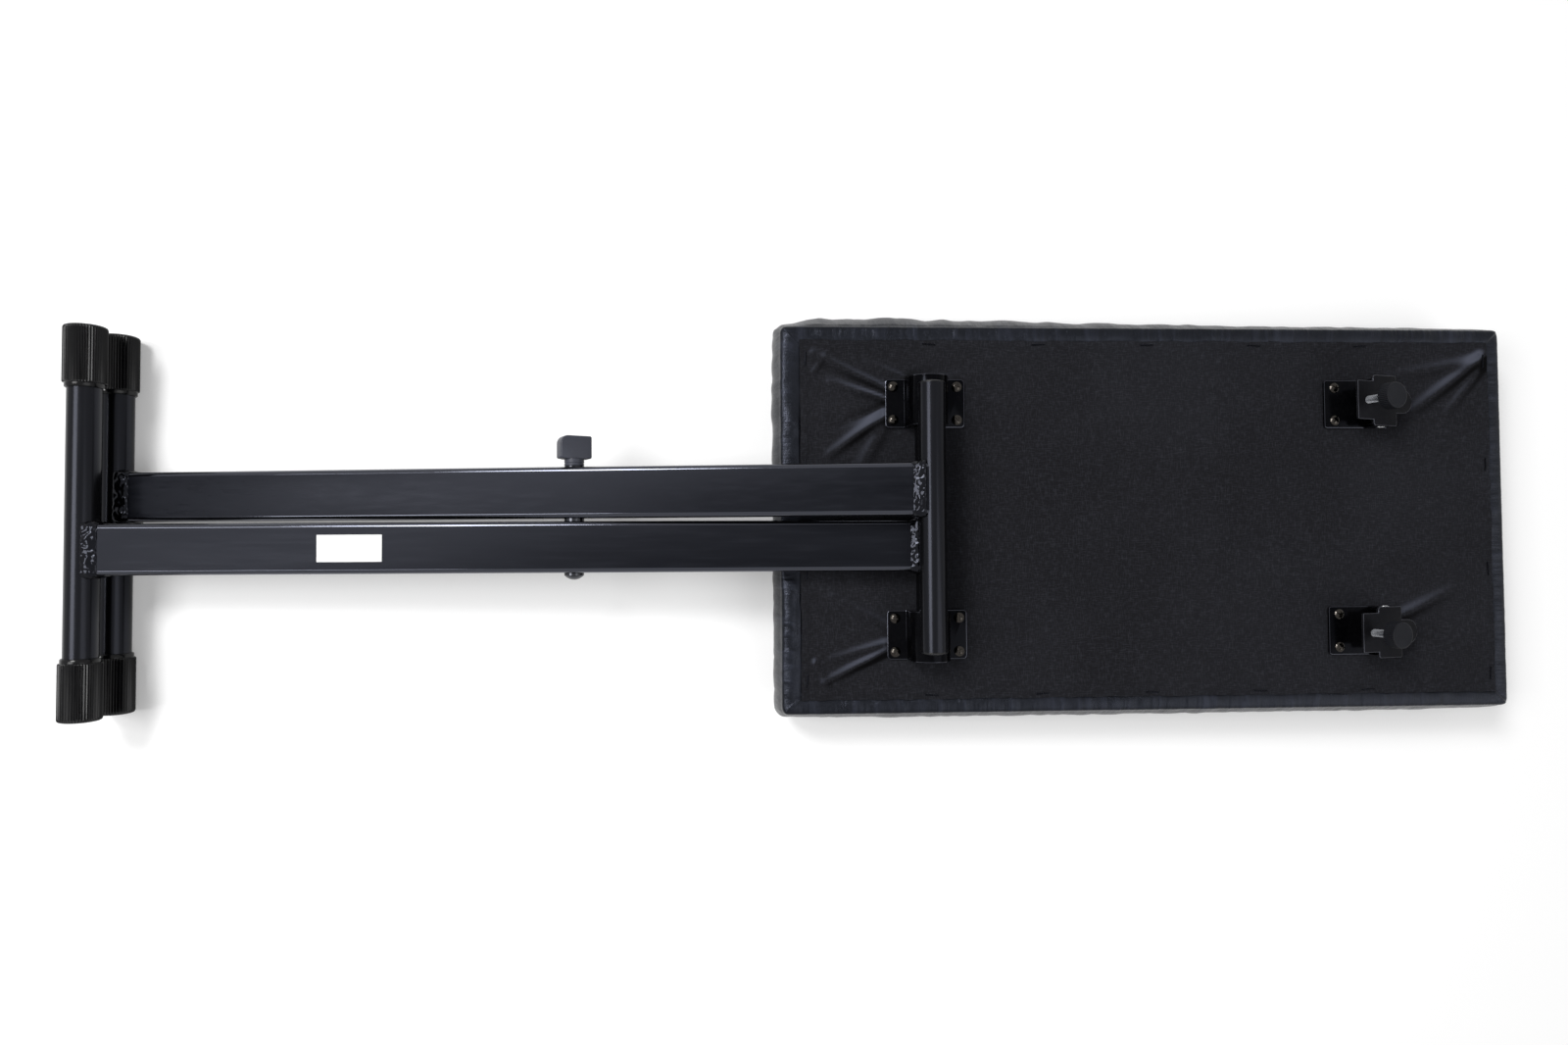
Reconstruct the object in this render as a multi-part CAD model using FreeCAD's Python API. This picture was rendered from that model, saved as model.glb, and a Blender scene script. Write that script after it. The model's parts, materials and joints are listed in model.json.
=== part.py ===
import FreeCAD, Part
import math
import os

from FreeCAD import Vector

# Keyboard bench with an X frame, folded and lying on its sitting face.
# +Z is up, X runs along the seat, and the folded frame reaches out towards -X.
# The origin is the centre of the sitting face. Lengths are millimetres, angles are degrees.

# Seat cushion, measured where the cover turns over the board's edge
seat_length = 600.0
seat_width = 318.0
seat_height = 60.0
seat_bulge = 7.5
seat_corner = 13.0
seat_edge_draw = 2.6
crown_run = 45.0
crown_rise = 28.0
crown_corner = 20.0
crown_steps = 5
side_steps = 3
stand_cut = 0.5
cover_thickness = 1.0
cover_flap = 30.0
soft_gap = 0.3
board_thickness = 12.0
board_margin = 9.0
dust_cover_thickness = 0.4
dust_cover_margin_x = 11.5
dust_cover_margin_y = 14.5
dust_cover_corner = 4.0

# Staples round the dust cover
staple_crown = 11.0
staple_wire_width = 1.2
staple_wire_height = 0.6
staple_leg = 9.0
staple_margin = 3.5
hinge_staple_margin = 9.0
staple_count_x = 5
staple_count_y = 4
staple_pitch_x = 90.0
staple_end_y = 15.5

# Hinge saddles, bent from strip over the bushes
hinge_inset = 116.35
bracket_spread = 185.2
bracket_width = 39.0
saddle_thickness = 2.4
saddle_bend = 1.6
saddle_length = 64.0
saddle_corner = 3.0
bush_wall = 2.7
bush_floor_gap = 0.8
running_gap = 0.1

# Pan head screws of the saddles and the clamp bases
screw_head_radius = 4.0
screw_head_height = 2.4
screw_head_rim = 0.9
screw_shank_radius = 2.0
screw_length = 13.0
screw_tip = 3.0
screw_spread_x = 51.6
screw_spread_y = 26.8
screw_fit = 0.05
recess_width = 0.9
recess_span = 4.6
recess_depth = 1.2

# Clamps that take the free bar
clamp_inset = 144.6
clamp_base_front = 8.3
clamp_base_length = 53.0
clamp_base_thickness = 2.5
clamp_base_corner = 2.0
lug_thickness = 2.4
lug_radius = 8.0
lug_rise = 0.5
lug_side_gap = 0.3
pin_radius = 2.5
pin_head_radius = 3.6
pin_head_length = 1.0
bar_seat_reach = 12.0
bar_seat_gap = 0.3
bar_jaw_gap = 1.13
bar_lug_gap = 2.0

# Rocking jaw, measured in its own plane from the axis of the thumb screw
jaw_thickness = 2.0
jaw_tilt = 15.0
jaw_lip_reach = 10.2
jaw_lip_width = 31.0
jaw_shoulder_reach = 5.5
jaw_shoulder_width = 40.6
jaw_heel_reach = 29.5
jaw_corner = 1.5
jaw_tail_reach = 45.9
jaw_tail_width = 19.5
ear_thickness = 2.0
ear_radius = 6.0

# Thumb screw and its knob
thumb_radius = 3.0
thumb_tip = 0.2
thumb_free_length = 16.0
thumb_socket_depth = 6.0
knob_radius = 10.4
knob_height = 10.0
knob_bevel = 1.2

# Legs, each a rectangular tube between a foot bar and a top bar
pivot_to_top = 279.0
pivot_to_foot = 381.5
tube_width = 40.0
tube_depth = 20.0
tube_wall = 1.5
tube_corner = 3.5
tube_spacing = 2.5
top_bar_radius = 10.5
top_bar_wall = 1.5
hinge_bar_length = 225.0
free_bar_length = 210.0
plug_dome = 2.6
plug_rim = 0.8
plug_depth = 12.0
foot_bar_radius = 12.0
foot_bar_wall = 1.5
foot_length = 308.0
cap_radius = 15.0
cap_length = 49.0
cap_end = 3.0
cap_lip_length = 3.5
cap_lip_step = 1.4
cap_bevel = 1.8
weld_size = 2.5
weld_length = 6.0
weld_toe = 0.4
weld_wrap_share = 0.5
bar_rest_gap = 0.4
label_length = 50.0
label_width = 21.0
label_thickness = 0.2
label_from_hinge = 450.0

# Pivot of the X
bolt_radius = 4.0
bolt_head_radius = 7.65
bolt_head_height = 4.6
bolt_head_rim = 1.0
washer_radius = 7.75
washer_thickness = 1.0
sleeve_radius = 6.0
bolt_end_cover = 5.0
collar_length = 5.2
wing_height = 18.5
wing_width = 25.0
wing_thickness = 12.0
wing_shoulder = 0.8
wing_round = 6.0
wing_heel_round = 1.5
wing_fillet = 1.2
wing_turn = 28.0
insert_radius = 5.6
insert_length = 12.0

# One length by which every cut runs past what it cuts
overrun = 5.0

# Levels and places that follow from the sizes above
board_top = seat_height - cover_thickness - soft_gap
board_bottom = board_top - board_thickness
dust_cover_bottom = seat_height + soft_gap
dust_cover_top = dust_cover_bottom + dust_cover_thickness
bracket_level = dust_cover_top + soft_gap
bush_bore = top_bar_radius + running_gap
bush_radius = bush_bore + bush_wall
saddle_bore = bush_radius + running_gap
saddle_radius = saddle_bore + saddle_thickness
hinge_level = dust_cover_top + bush_floor_gap + bush_radius
hinge = Vector(hinge_inset - seat_length / 2, 0, hinge_level)
clamp_line = seat_length / 2 - clamp_inset

# Clamp measures from its screw line and the bracket level, set by the bar that it takes
jaw_slope = math.radians(jaw_tilt)
pin_reach = bar_seat_reach + top_bar_radius + bar_lug_gap + lug_radius
pin_height = clamp_base_thickness + lug_rise + lug_radius
bar_height = clamp_base_thickness + bar_seat_gap + top_bar_radius
jaw_height = bar_height + top_bar_radius + bar_jaw_gap + jaw_thickness / math.cos(jaw_slope)
jaw_screw_reach = bar_seat_reach + (jaw_thickness + thumb_tip) * math.sin(jaw_slope)

# Folded frame: the free bar lies over the saddles and the far foot lies on the floor
fold_distance = saddle_radius + top_bar_radius + bar_rest_gap
fold_angle = 2 * math.degrees(math.asin(fold_distance / (2 * pivot_to_top)))
foot_along = pivot_to_top + pivot_to_foot * math.cos(math.radians(fold_angle))
foot_across = pivot_to_foot * math.sin(math.radians(fold_angle))
foot_drop = (hinge_level - cap_radius) / math.hypot(foot_along, foot_across)
leg_a_tilt = math.degrees(math.asin(foot_drop) - math.atan2(foot_across, foot_along))
leg_b_tilt = leg_a_tilt + fold_angle
tilt_a = math.radians(leg_a_tilt)
pivot = hinge - Vector(math.cos(tilt_a), 0, math.sin(tilt_a)) * pivot_to_top

X_AXIS = Vector(1, 0, 0)
Y_AXIS = Vector(0, 1, 0)
Z_AXIS = Vector(0, 0, 1)
FULL_TURN = 360
QUARTER_TURN = 90
HALF = 0.5
DIAGONAL = math.sqrt(HALF)
TOUCHING = 1e-6
CUBIC_CENTIMETRE = 1000.0
SIDES = {"front": -1, "rear": 1}


def outline(start, *steps):
    """Closed wire from a start point, where a pair of points is an arc and a single point is a line."""
    edges = []
    last = start
    for step in steps + (start,):
        if isinstance(step, tuple):
            edges.append(Part.Arc(last, *step).toShape())
            last = step[-1]
        elif not last.isEqual(step, TOUCHING):
            edges.append(Part.LineSegment(last, step).toShape())
            last = step
    return Part.Wire(edges)


def rounded_rectangle(length, width, radius, z=0):
    """Wire round the origin with a quarter arc at each corner."""
    edges = []
    x, y = length / 2 - radius, width / 2 - radius
    for index, (sx, sy) in enumerate(((1, 1), (-1, 1), (-1, -1), (1, -1))):
        centre = Vector(sx * x, sy * y, z)
        arc = Part.Circle(centre, Z_AXIS, radius)
        start = math.radians(QUARTER_TURN * index)
        edges.append(Part.ArcOfCircle(arc, start, start + math.radians(QUARTER_TURN)).toShape())
    corners = []
    for arc, following in zip(edges, edges[1:] + edges[:1]):
        corners += [arc, Part.LineSegment(arc.lastVertex().Point, following.firstVertex().Point).toShape()]
    return Part.Wire(corners)


def slab(length, width, radius, bottom, top):
    """Plate with rounded corners between two levels, centred on the origin."""
    return Part.Face(rounded_rectangle(length, width, radius, bottom)).extrude(Z_AXIS * (top - bottom))


def block(x_span, y_span, z_span):
    """Box between pairs of coordinates."""
    low, high = zip(x_span, y_span, z_span)
    return Part.makeBox(*(b - a for a, b in zip(low, high)), Vector(*low))


def rod(radius, y_span, x=0, z=0):
    """Round bar along Y."""
    return Part.makeCylinder(radius, y_span[1] - y_span[0], Vector(x, y_span[0], z), Y_AXIS)


def ring(radius, bore, y_span, x=0, z=0):
    """Round tube along Y."""
    past = (y_span[0] - overrun, y_span[1] + overrun)
    return rod(radius, y_span, x, z).cut(rod(bore, past, x, z))


def plate_y(wire, thickness, y_centre):
    """Flat piece cut to a wire that lies in the XZ plane."""
    face = Part.Face(wire)
    face.translate(Y_AXIS * (y_centre - thickness / 2))
    return face.extrude(Y_AXIS * thickness)


def beam(depth, width, radius, x_span, y_centre):
    """Bar of rounded rectangular section along X."""
    piece = slab(depth, width, radius, *x_span)
    piece.rotate(Vector(), Y_AXIS, QUARTER_TURN)
    piece.translate(Y_AXIS * y_centre)
    return piece


def turned(points, *arc):
    """Solid turned about Z from a half profile that starts and ends on the axis, closed by an arc."""
    start, *rest = [Vector(r, 0, z) for r, z in points]
    cap = tuple(Vector(r, 0, z) for r, z in arc)
    wire = outline(start, *rest, cap) if cap else outline(start, *rest)
    return Part.Face(wire).revolve(Vector(), Z_AXIS, FULL_TURN)


def dome(radius, rim, height):
    """Low dome on a straight rim, standing on the XY plane."""
    rise = height - rim
    sphere = (radius ** 2 + rise ** 2) / (2 * rise)
    half_angle = math.asin(radius / sphere) / 2
    middle = (sphere * math.sin(half_angle), height - sphere * (1 - math.cos(half_angle)))
    return turned([(0, 0), (radius, 0), (radius, rim)], middle, (0, height))


def joined(*pieces):
    """One solid from pieces that overlap."""
    return pieces[0].fuse(list(pieces[1:])).removeSplitter()


def aim(piece, turns, place):
    """Copy of a piece turned about axes through the origin, then moved."""
    copy = piece.copy()
    for axis, angle in turns:
        copy.rotate(Vector(), axis, angle)
    copy.translate(place)
    return copy


def cushion_profile(inset, bottom, top):
    """Outward reach and level of the cushion's side, from the sitting face up to the underside."""
    widest = seat_bulge - inset
    profile = []
    for step in range(crown_steps + 1):
        turn = math.radians(QUARTER_TURN * step / crown_steps)
        reach = widest - (crown_run - inset) * (1 - math.sin(turn))
        profile.append((reach, bottom + (crown_rise - bottom) * (1 - math.cos(turn))))
    for step in range(1, side_steps + 1):
        turn = math.radians(QUARTER_TURN * step / side_steps)
        reach = widest - (seat_bulge + seat_edge_draw) * (1 - math.cos(turn))
        profile.append((reach, crown_rise + (top - crown_rise) * step / side_steps))
    return profile


def cushion_solid(inset, bottom, top):
    """Crowned cushion with drawn-in sides, cut flat where the bench stands on it."""
    sections = []
    for reach, level in cushion_profile(inset, bottom, top):
        corner = seat_corner - inset + crown_corner * (top - level) / (top - bottom)
        sections.append(rounded_rectangle(seat_length + 2 * reach, seat_width + 2 * reach, corner, level))
    cushion = Part.makeLoft(sections, True, True)
    floor = block((-seat_length, seat_length), (-seat_width, seat_width), (-overrun, 0))
    return cushion.cut(floor) if bottom < 0 else cushion


def staple_places():
    """Centre and direction of each staple along the hem of the dust cover."""
    cloth_end = seat_length / 2 - dust_cover_margin_x
    y_edge = seat_width / 2 - dust_cover_margin_y - staple_margin
    x_edges = (hinge_staple_margin - cloth_end, cloth_end - staple_margin)
    pitch_y = (seat_width - 2 * dust_cover_margin_y - 2 * staple_end_y) / (staple_count_y - 1)
    along_x = [(step - (staple_count_x - 1) / 2) * staple_pitch_x for step in range(staple_count_x)]
    along_y = [(step - (staple_count_y - 1) / 2) * pitch_y for step in range(staple_count_y)]
    places = [(Vector(x, side * y_edge, 0), 0) for side in (-1, 1) for x in along_x]
    places += [(Vector(x, y, 0), QUARTER_TURN) for x in x_edges for y in along_y]
    return places


def staples():
    """Wire staples that lie on the dust cover with their legs in the board."""
    half = staple_crown / 2
    wire = (-staple_wire_width / 2, staple_wire_width / 2)
    top = dust_cover_top + staple_wire_height
    bottom = dust_cover_top - staple_leg
    crown = block((-half, half), wire, (dust_cover_top, top))
    legs = [block((x, x + staple_wire_width), wire, (bottom, top)) for x in (-half, half - staple_wire_width)]
    staple = joined(crown, *legs)
    return [aim(staple, [(Z_AXIS, angle)], place) for place, angle in staple_places()]


def pan_head_screw():
    """Cross recessed screw with the underside of its head at the origin, pointing down."""
    rise = screw_head_height - screw_head_rim
    sphere = (screw_head_radius ** 2 + rise ** 2) / (2 * rise)
    half_angle = math.asin(screw_head_radius / sphere) / 2
    middle = (sphere * math.sin(half_angle), screw_head_height - sphere * (1 - math.cos(half_angle)))
    shank = [(0, -screw_length), (screw_shank_radius, screw_tip - screw_length), (screw_shank_radius, 0)]
    head = [(screw_head_radius, 0), (screw_head_radius, screw_head_rim)]
    screw = turned(shank + head, middle, (0, screw_head_height))
    long, short = recess_span / 2, recess_width / 2
    depth = (screw_head_height - recess_depth, screw_head_height + overrun)
    slot = block((-long, long), (-short, short), depth)
    return screw.cut([slot, block((-short, short), (-long, long), depth)])


def saddle_screw_places():
    """Seats of the saddle screws on the flanges."""
    level = bracket_level + saddle_thickness
    return [
        Vector(hinge.x + sx * screw_spread_x / 2, side * bracket_spread / 2 + sy * screw_spread_y / 2, level)
        for side in SIDES.values() for sx in (-1, 1) for sy in (-1, 1)
    ]


def clamp_screw_places():
    """Seats of the clamp screws on the bases."""
    level = bracket_level + clamp_base_thickness
    return [
        Vector(clamp_line, side * bracket_spread / 2 + sy * screw_spread_y / 2, level)
        for side in SIDES.values() for sy in (-1, 1)
    ]


def screw_holes(places, clearance):
    """Cylinders that clear the shanks of screws at these places."""
    down = -Z_AXIS
    length = screw_length + clearance + overrun
    return [
        Part.makeCylinder(screw_shank_radius + clearance, length, place + Z_AXIS * overrun, down)
        for place in places
    ]


def hem_cuts():
    """Everything that passes through the dust cover and into the board."""
    return screw_holes(saddle_screw_places() + clamp_screw_places(), screw_fit) + staples()


def seat_board():
    """Wood panel under the foam."""
    length = seat_length - 2 * board_margin
    width = seat_width - 2 * board_margin
    return slab(length, width, seat_corner, board_bottom, board_top).cut(hem_cuts())


def seat_foam():
    """Crowned foam, wrapped round the edge of the board."""
    inset = cover_thickness + soft_gap
    foam = cushion_solid(inset, inset - stand_cut, board_top)
    length = seat_length - 2 * (board_margin - soft_gap)
    width = seat_width - 2 * (board_margin - soft_gap)
    corner = seat_corner + soft_gap
    return foam.cut(slab(length, width, corner, board_bottom - soft_gap, board_top + overrun))


def seat_cover():
    """Leatherette skin with a flap turned over onto the underside."""
    outer = cushion_solid(0, -stand_cut, seat_height)
    inner = cushion_solid(cover_thickness, cover_thickness - stand_cut, seat_height - cover_thickness)
    length = seat_length - 2 * cover_flap
    width = seat_width - 2 * cover_flap
    window = slab(length, width, seat_corner, seat_height / 2, seat_height + overrun)
    return outer.cut([inner, window]).cut(staples())


def dust_cover():
    """Woven sheet that closes the underside."""
    length = seat_length - 2 * dust_cover_margin_x
    width = seat_width - 2 * dust_cover_margin_y
    sheet = slab(length, width, dust_cover_corner, dust_cover_bottom, dust_cover_top)
    return sheet.cut(hem_cuts())


def saddle(side):
    """Strap bent over a bush, with a flange on each side."""
    rise = hinge_level - bracket_level
    end = saddle_length / 2
    foot = saddle_radius + saddle_bend
    shoulder = saddle_thickness + saddle_bend
    bend = saddle_bend * (1 - DIAGONAL)

    def at(x, z):
        return Vector(x, 0, z)

    wire = outline(
        at(-end, 0),
        at(-end, saddle_thickness),
        at(-foot, saddle_thickness),
        (at(-saddle_radius - bend, saddle_thickness + bend), at(-saddle_radius, shoulder)),
        at(-saddle_radius, rise),
        (at(-saddle_radius * DIAGONAL, rise + saddle_radius * DIAGONAL), at(0, rise + saddle_radius)),
        (at(saddle_radius * DIAGONAL, rise + saddle_radius * DIAGONAL), at(saddle_radius, rise)),
        at(saddle_radius, shoulder),
        (at(saddle_radius + bend, saddle_thickness + bend), at(foot, saddle_thickness)),
        at(end, saddle_thickness),
        at(end, 0),
        at(saddle_bore, 0),
        at(saddle_bore, rise),
        (at(saddle_bore * DIAGONAL, rise + saddle_bore * DIAGONAL), at(0, rise + saddle_bore)),
        (at(-saddle_bore * DIAGONAL, rise + saddle_bore * DIAGONAL), at(-saddle_bore, rise)),
        at(-saddle_bore, 0),
    )
    strap = plate_y(wire, bracket_width, 0)
    strap = strap.common(slab(saddle_length, bracket_width, saddle_corner, 0, rise + saddle_radius + overrun))
    strap.translate(Vector(hinge.x, side * bracket_spread / 2, bracket_level))
    return strap.cut(screw_holes(saddle_screw_places(), screw_fit))


def hinge_bush(side):
    """Plain bush on which the hinge bar turns."""
    centre = side * bracket_spread / 2
    span = (centre - bracket_width / 2, centre + bracket_width / 2)
    return ring(bush_radius, bush_bore, span, hinge.x, hinge.z)


def clamp_place(side):
    """Corner of the clamp's own measures: the screw line, on the bracket level."""
    return Vector(clamp_line, side * bracket_spread / 2, bracket_level)


def clamp_base(side):
    """Base plate with two upturned lugs that hold the pin."""
    plate = slab(clamp_base_length, bracket_width, clamp_base_corner, 0, clamp_base_thickness)
    plate.translate(X_AXIS * (clamp_base_length / 2 - clamp_base_front))
    lug_wire = outline(
        Vector(pin_reach - lug_radius, 0, 0),
        Vector(pin_reach - lug_radius, 0, pin_height),
        (
            Vector(pin_reach - lug_radius * DIAGONAL, 0, pin_height + lug_radius * DIAGONAL),
            Vector(pin_reach, 0, pin_height + lug_radius),
        ),
        (
            Vector(pin_reach + lug_radius * DIAGONAL, 0, pin_height + lug_radius * DIAGONAL),
            Vector(pin_reach + lug_radius, 0, pin_height),
        ),
        Vector(pin_reach + lug_radius, 0, 0),
    )
    lug_centre = (bracket_width - lug_thickness) / 2
    lugs = [plate_y(lug_wire, lug_thickness, end * lug_centre) for end in (-1, 1)]
    across = (-bracket_width, bracket_width)
    base = joined(plate, *lugs).cut(rod(pin_radius + screw_fit, across, pin_reach, pin_height))
    base.translate(clamp_place(side))
    return base.cut(screw_holes(clamp_screw_places(), screw_fit))


def clamp_pin(side):
    """Pin with a flat head beyond each lug."""
    half = bracket_width / 2
    shank = rod(pin_radius, (-half - pin_head_length, half + pin_head_length), pin_reach, pin_height)
    heads = [
        rod(pin_head_radius, sorted((end * half, end * (half + pin_head_length))), pin_reach, pin_height)
        for end in (-1, 1)
    ]
    return aim(joined(shank, *heads), [], clamp_place(side))


def jaw_pin_place():
    """Place of the pin in the plane of the jaw, measured from the thumb screw."""
    across = pin_reach - jaw_screw_reach
    down = jaw_height - pin_height
    along = across * math.cos(jaw_slope) + down * math.sin(jaw_slope)
    below = across * math.sin(jaw_slope) - down * math.cos(jaw_slope)
    return along, below


def on_jaw(piece, side):
    """Piece moved from the jaw's own measures to its place on the seat."""
    place = clamp_place(side) + Vector(jaw_screw_reach, 0, jaw_height)
    return aim(piece, [(Y_AXIS, jaw_tilt)], place)


def clamp_jaw(side):
    """Rocking plate with a lip over the bar, two ears on the pin and a rounded tail."""
    lip, shoulder, tail = jaw_lip_width / 2, jaw_shoulder_width / 2, jaw_tail_width / 2

    def at(x, y):
        return Vector(x, y, -jaw_thickness)

    wire = outline(
        at(-jaw_lip_reach, -lip),
        at(jaw_shoulder_reach, -lip),
        at(jaw_shoulder_reach, -shoulder),
        at(jaw_heel_reach - jaw_corner, -shoulder),
        at(jaw_heel_reach, -shoulder + jaw_corner),
        at(jaw_heel_reach, -tail),
        at(jaw_tail_reach - tail, -tail),
        (at(jaw_tail_reach - tail * (1 - DIAGONAL), -tail * DIAGONAL), at(jaw_tail_reach, 0)),
        (at(jaw_tail_reach - tail * (1 - DIAGONAL), tail * DIAGONAL), at(jaw_tail_reach - tail, tail)),
        at(jaw_heel_reach, tail),
        at(jaw_heel_reach, shoulder - jaw_corner),
        at(jaw_heel_reach - jaw_corner, shoulder),
        at(jaw_shoulder_reach, shoulder),
        at(jaw_shoulder_reach, lip),
        at(-jaw_lip_reach, lip),
    )
    plate = Part.Face(wire).extrude(Z_AXIS * jaw_thickness)
    along, below = jaw_pin_place()
    ear_wire = outline(
        Vector(along - ear_radius, 0, -jaw_thickness / 2),
        Vector(along - ear_radius, 0, below),
        (
            Vector(along - ear_radius * DIAGONAL, 0, below - ear_radius * DIAGONAL),
            Vector(along, 0, below - ear_radius),
        ),
        (
            Vector(along + ear_radius * DIAGONAL, 0, below - ear_radius * DIAGONAL),
            Vector(along + ear_radius, 0, below),
        ),
        Vector(along + ear_radius, 0, -jaw_thickness / 2),
    )
    ear_centre = bracket_width / 2 - lug_thickness - lug_side_gap - ear_thickness / 2
    ears = [plate_y(ear_wire, ear_thickness, end * ear_centre) for end in (-1, 1)]
    across = (-bracket_width, bracket_width)
    bore = rod(pin_radius + running_gap, across, along, below)
    depth = jaw_thickness + 2 * overrun
    hole = Part.makeCylinder(thumb_radius + screw_fit, depth, Vector(0, 0, -jaw_thickness - overrun))
    return on_jaw(joined(plate, *ears).cut([bore, hole]), side)


def thumb_screw(side):
    """Threaded shank from the bar up into the knob."""
    bottom = -jaw_thickness - thumb_tip
    length = thumb_free_length + thumb_socket_depth - bottom
    return on_jaw(Part.makeCylinder(thumb_radius, length, Z_AXIS * bottom), side)


def thumb_knob(side):
    """Round knob with a bevelled top."""
    socket = thumb_socket_depth + screw_fit
    body = turned([
        (0, 0),
        (knob_radius - knob_bevel / 2, 0),
        (knob_radius, knob_bevel / 2),
        (knob_radius, knob_height - knob_bevel),
        (knob_radius - knob_bevel, knob_height),
        (0, knob_height),
    ])
    bore = Part.makeCylinder(thumb_radius + screw_fit, socket + overrun, -Z_AXIS * overrun)
    return on_jaw(aim(body.cut(bore), [], Z_AXIS * thumb_free_length), side)


def on_leg_a(piece):
    """Piece moved from the pivot's own measures to the folded leg A."""
    return aim(piece, [(Y_AXIS, -leg_a_tilt)], pivot)


def on_leg_b(piece):
    """Piece moved from the pivot's own measures to the folded leg B."""
    return aim(piece, [(Y_AXIS, -leg_b_tilt)], pivot)


def tube_centre(side):
    """Middle of a leg tube across the bench."""
    return side * (tube_spacing + tube_width) / 2


def leg_span():
    """Ends of a leg tube, which meet the bars."""
    return foot_bar_radius - pivot_to_foot, pivot_to_top - top_bar_radius


def leg_tube(side):
    """Rectangular tube with a cross hole for the pivot sleeve."""
    start, end = leg_span()
    centre = tube_centre(side)
    outer = beam(tube_depth, tube_width, tube_corner, (start, end), centre)
    inner = tube_hollow(centre, start - overrun, end + overrun)
    reach = tube_width / 2 + overrun
    hole = rod(sleeve_radius + screw_fit, (centre - reach, centre + reach))
    return outer.cut([inner, hole])


def tube_hollow(centre, start, end):
    """Inside of a leg tube."""
    depth, width = tube_depth - 2 * tube_wall, tube_width - 2 * tube_wall
    return beam(depth, width, tube_corner - tube_wall, (start, end), centre)


def weld(side, bar_x, bar_radius, inward):
    """Bead round the end of a leg tube where it meets a bar."""
    centre = tube_centre(side)
    tangent = bar_x + inward * bar_radius
    root = tangent - inward * bar_radius * weld_wrap_share
    toe = tangent + inward * weld_length
    sections = []
    for x, grown in ((root, weld_size), (tangent, weld_size), (toe, weld_toe)):
        wire = rounded_rectangle(tube_depth + 2 * grown, tube_width + 2 * grown, tube_corner + grown, x)
        wire.rotate(Vector(), Y_AXIS, QUARTER_TURN)
        wire.translate(Y_AXIS * centre)
        sections.append(wire)
    bead = Part.makeLoft(sections, True, True)
    start, end = leg_span()
    tube = beam(tube_depth, tube_width, tube_corner, (start, end), centre)
    reach = tube_width
    bar = rod(bar_radius, (centre - reach, centre + reach), bar_x)
    hollow = tube_hollow(centre, min(root, toe) - overrun, max(root, toe) + overrun)
    return bead.cut([tube, bar, hollow])


def foot_bar():
    """Round foot tube, which ends inside the caps."""
    half = foot_length / 2 - cap_end
    return ring(foot_bar_radius, foot_bar_radius - foot_bar_wall, (-half, half), -pivot_to_foot)


def foot_cap(side):
    """Cap with a smooth lip at its mouth and a bevelled end."""
    lip = cap_radius - cap_lip_step
    body = turned([
        (0, 0),
        (lip, 0),
        (lip, cap_lip_length),
        (cap_radius, cap_lip_length),
        (cap_radius, cap_length - cap_bevel),
        (cap_radius - cap_bevel, cap_length),
        (0, cap_length),
    ])
    depth = cap_length - cap_end
    bore = Part.makeCylinder(foot_bar_radius + screw_fit, depth + overrun, -Z_AXIS * overrun)
    place = Vector(-pivot_to_foot, side * (foot_length / 2 - cap_length), 0)
    return aim(body.cut(bore), [(X_AXIS, -side * QUARTER_TURN)], place)


def top_bar(length):
    """Round tube at the upper end of a leg, open at both ends."""
    half = length / 2 - plug_dome
    return ring(top_bar_radius, top_bar_radius - top_bar_wall, (-half, half), pivot_to_top)


def bar_plugs(length):
    """Domed plugs in both ends of a top bar."""
    spigot_radius = top_bar_radius - top_bar_wall - running_gap
    spigot = Part.makeCylinder(spigot_radius, plug_depth + plug_rim / 2, -Z_AXIS * plug_depth)
    plug = joined(dome(top_bar_radius, plug_rim, plug_dome), spigot)
    plugs = []
    for end in (-1, 1):
        place = Vector(pivot_to_top, end * (length / 2 - plug_dome), 0)
        plugs.append(aim(plug, [(X_AXIS, -end * QUARTER_TURN)], place))
    return plugs


def pivot_sleeve(side):
    """Sleeve that keeps the bolt from crushing the tube."""
    centre = tube_centre(side)
    span = (centre - tube_width / 2, centre + tube_width / 2)
    return ring(sleeve_radius, bolt_radius + running_gap, span)


def blank_label():
    """Plain label on the upper face of the tube."""
    middle = pivot_to_top - label_from_hinge
    length = (middle - label_length / 2, middle + label_length / 2)
    width = (tube_centre(-1) - label_width / 2, tube_centre(-1) + label_width / 2)
    return block(length, width, (tube_depth / 2, tube_depth / 2 + label_thickness))


def stack_edge():
    """Outer face of both tubes, measured from the middle plane."""
    return tube_spacing / 2 + tube_width


def knob_base():
    """Face of the pivot knob that looks at the tube."""
    return stack_edge() + washer_thickness + running_gap


def pivot_bolt():
    """Bolt through both tubes, with a domed head on the front side."""
    head_face = -stack_edge() - washer_thickness
    end = knob_base() + collar_length + wing_height - bolt_end_cover
    shank = rod(bolt_radius, (head_face, end))
    head = dome(bolt_head_radius, bolt_head_rim, bolt_head_height)
    head = aim(head, [(X_AXIS, QUARTER_TURN)], Y_AXIS * head_face)
    return joined(shank, head)


def washer(y_low, y_high):
    """Flat washer on the bolt."""
    return ring(washer_radius, bolt_radius + running_gap, (y_low, y_high))


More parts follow.
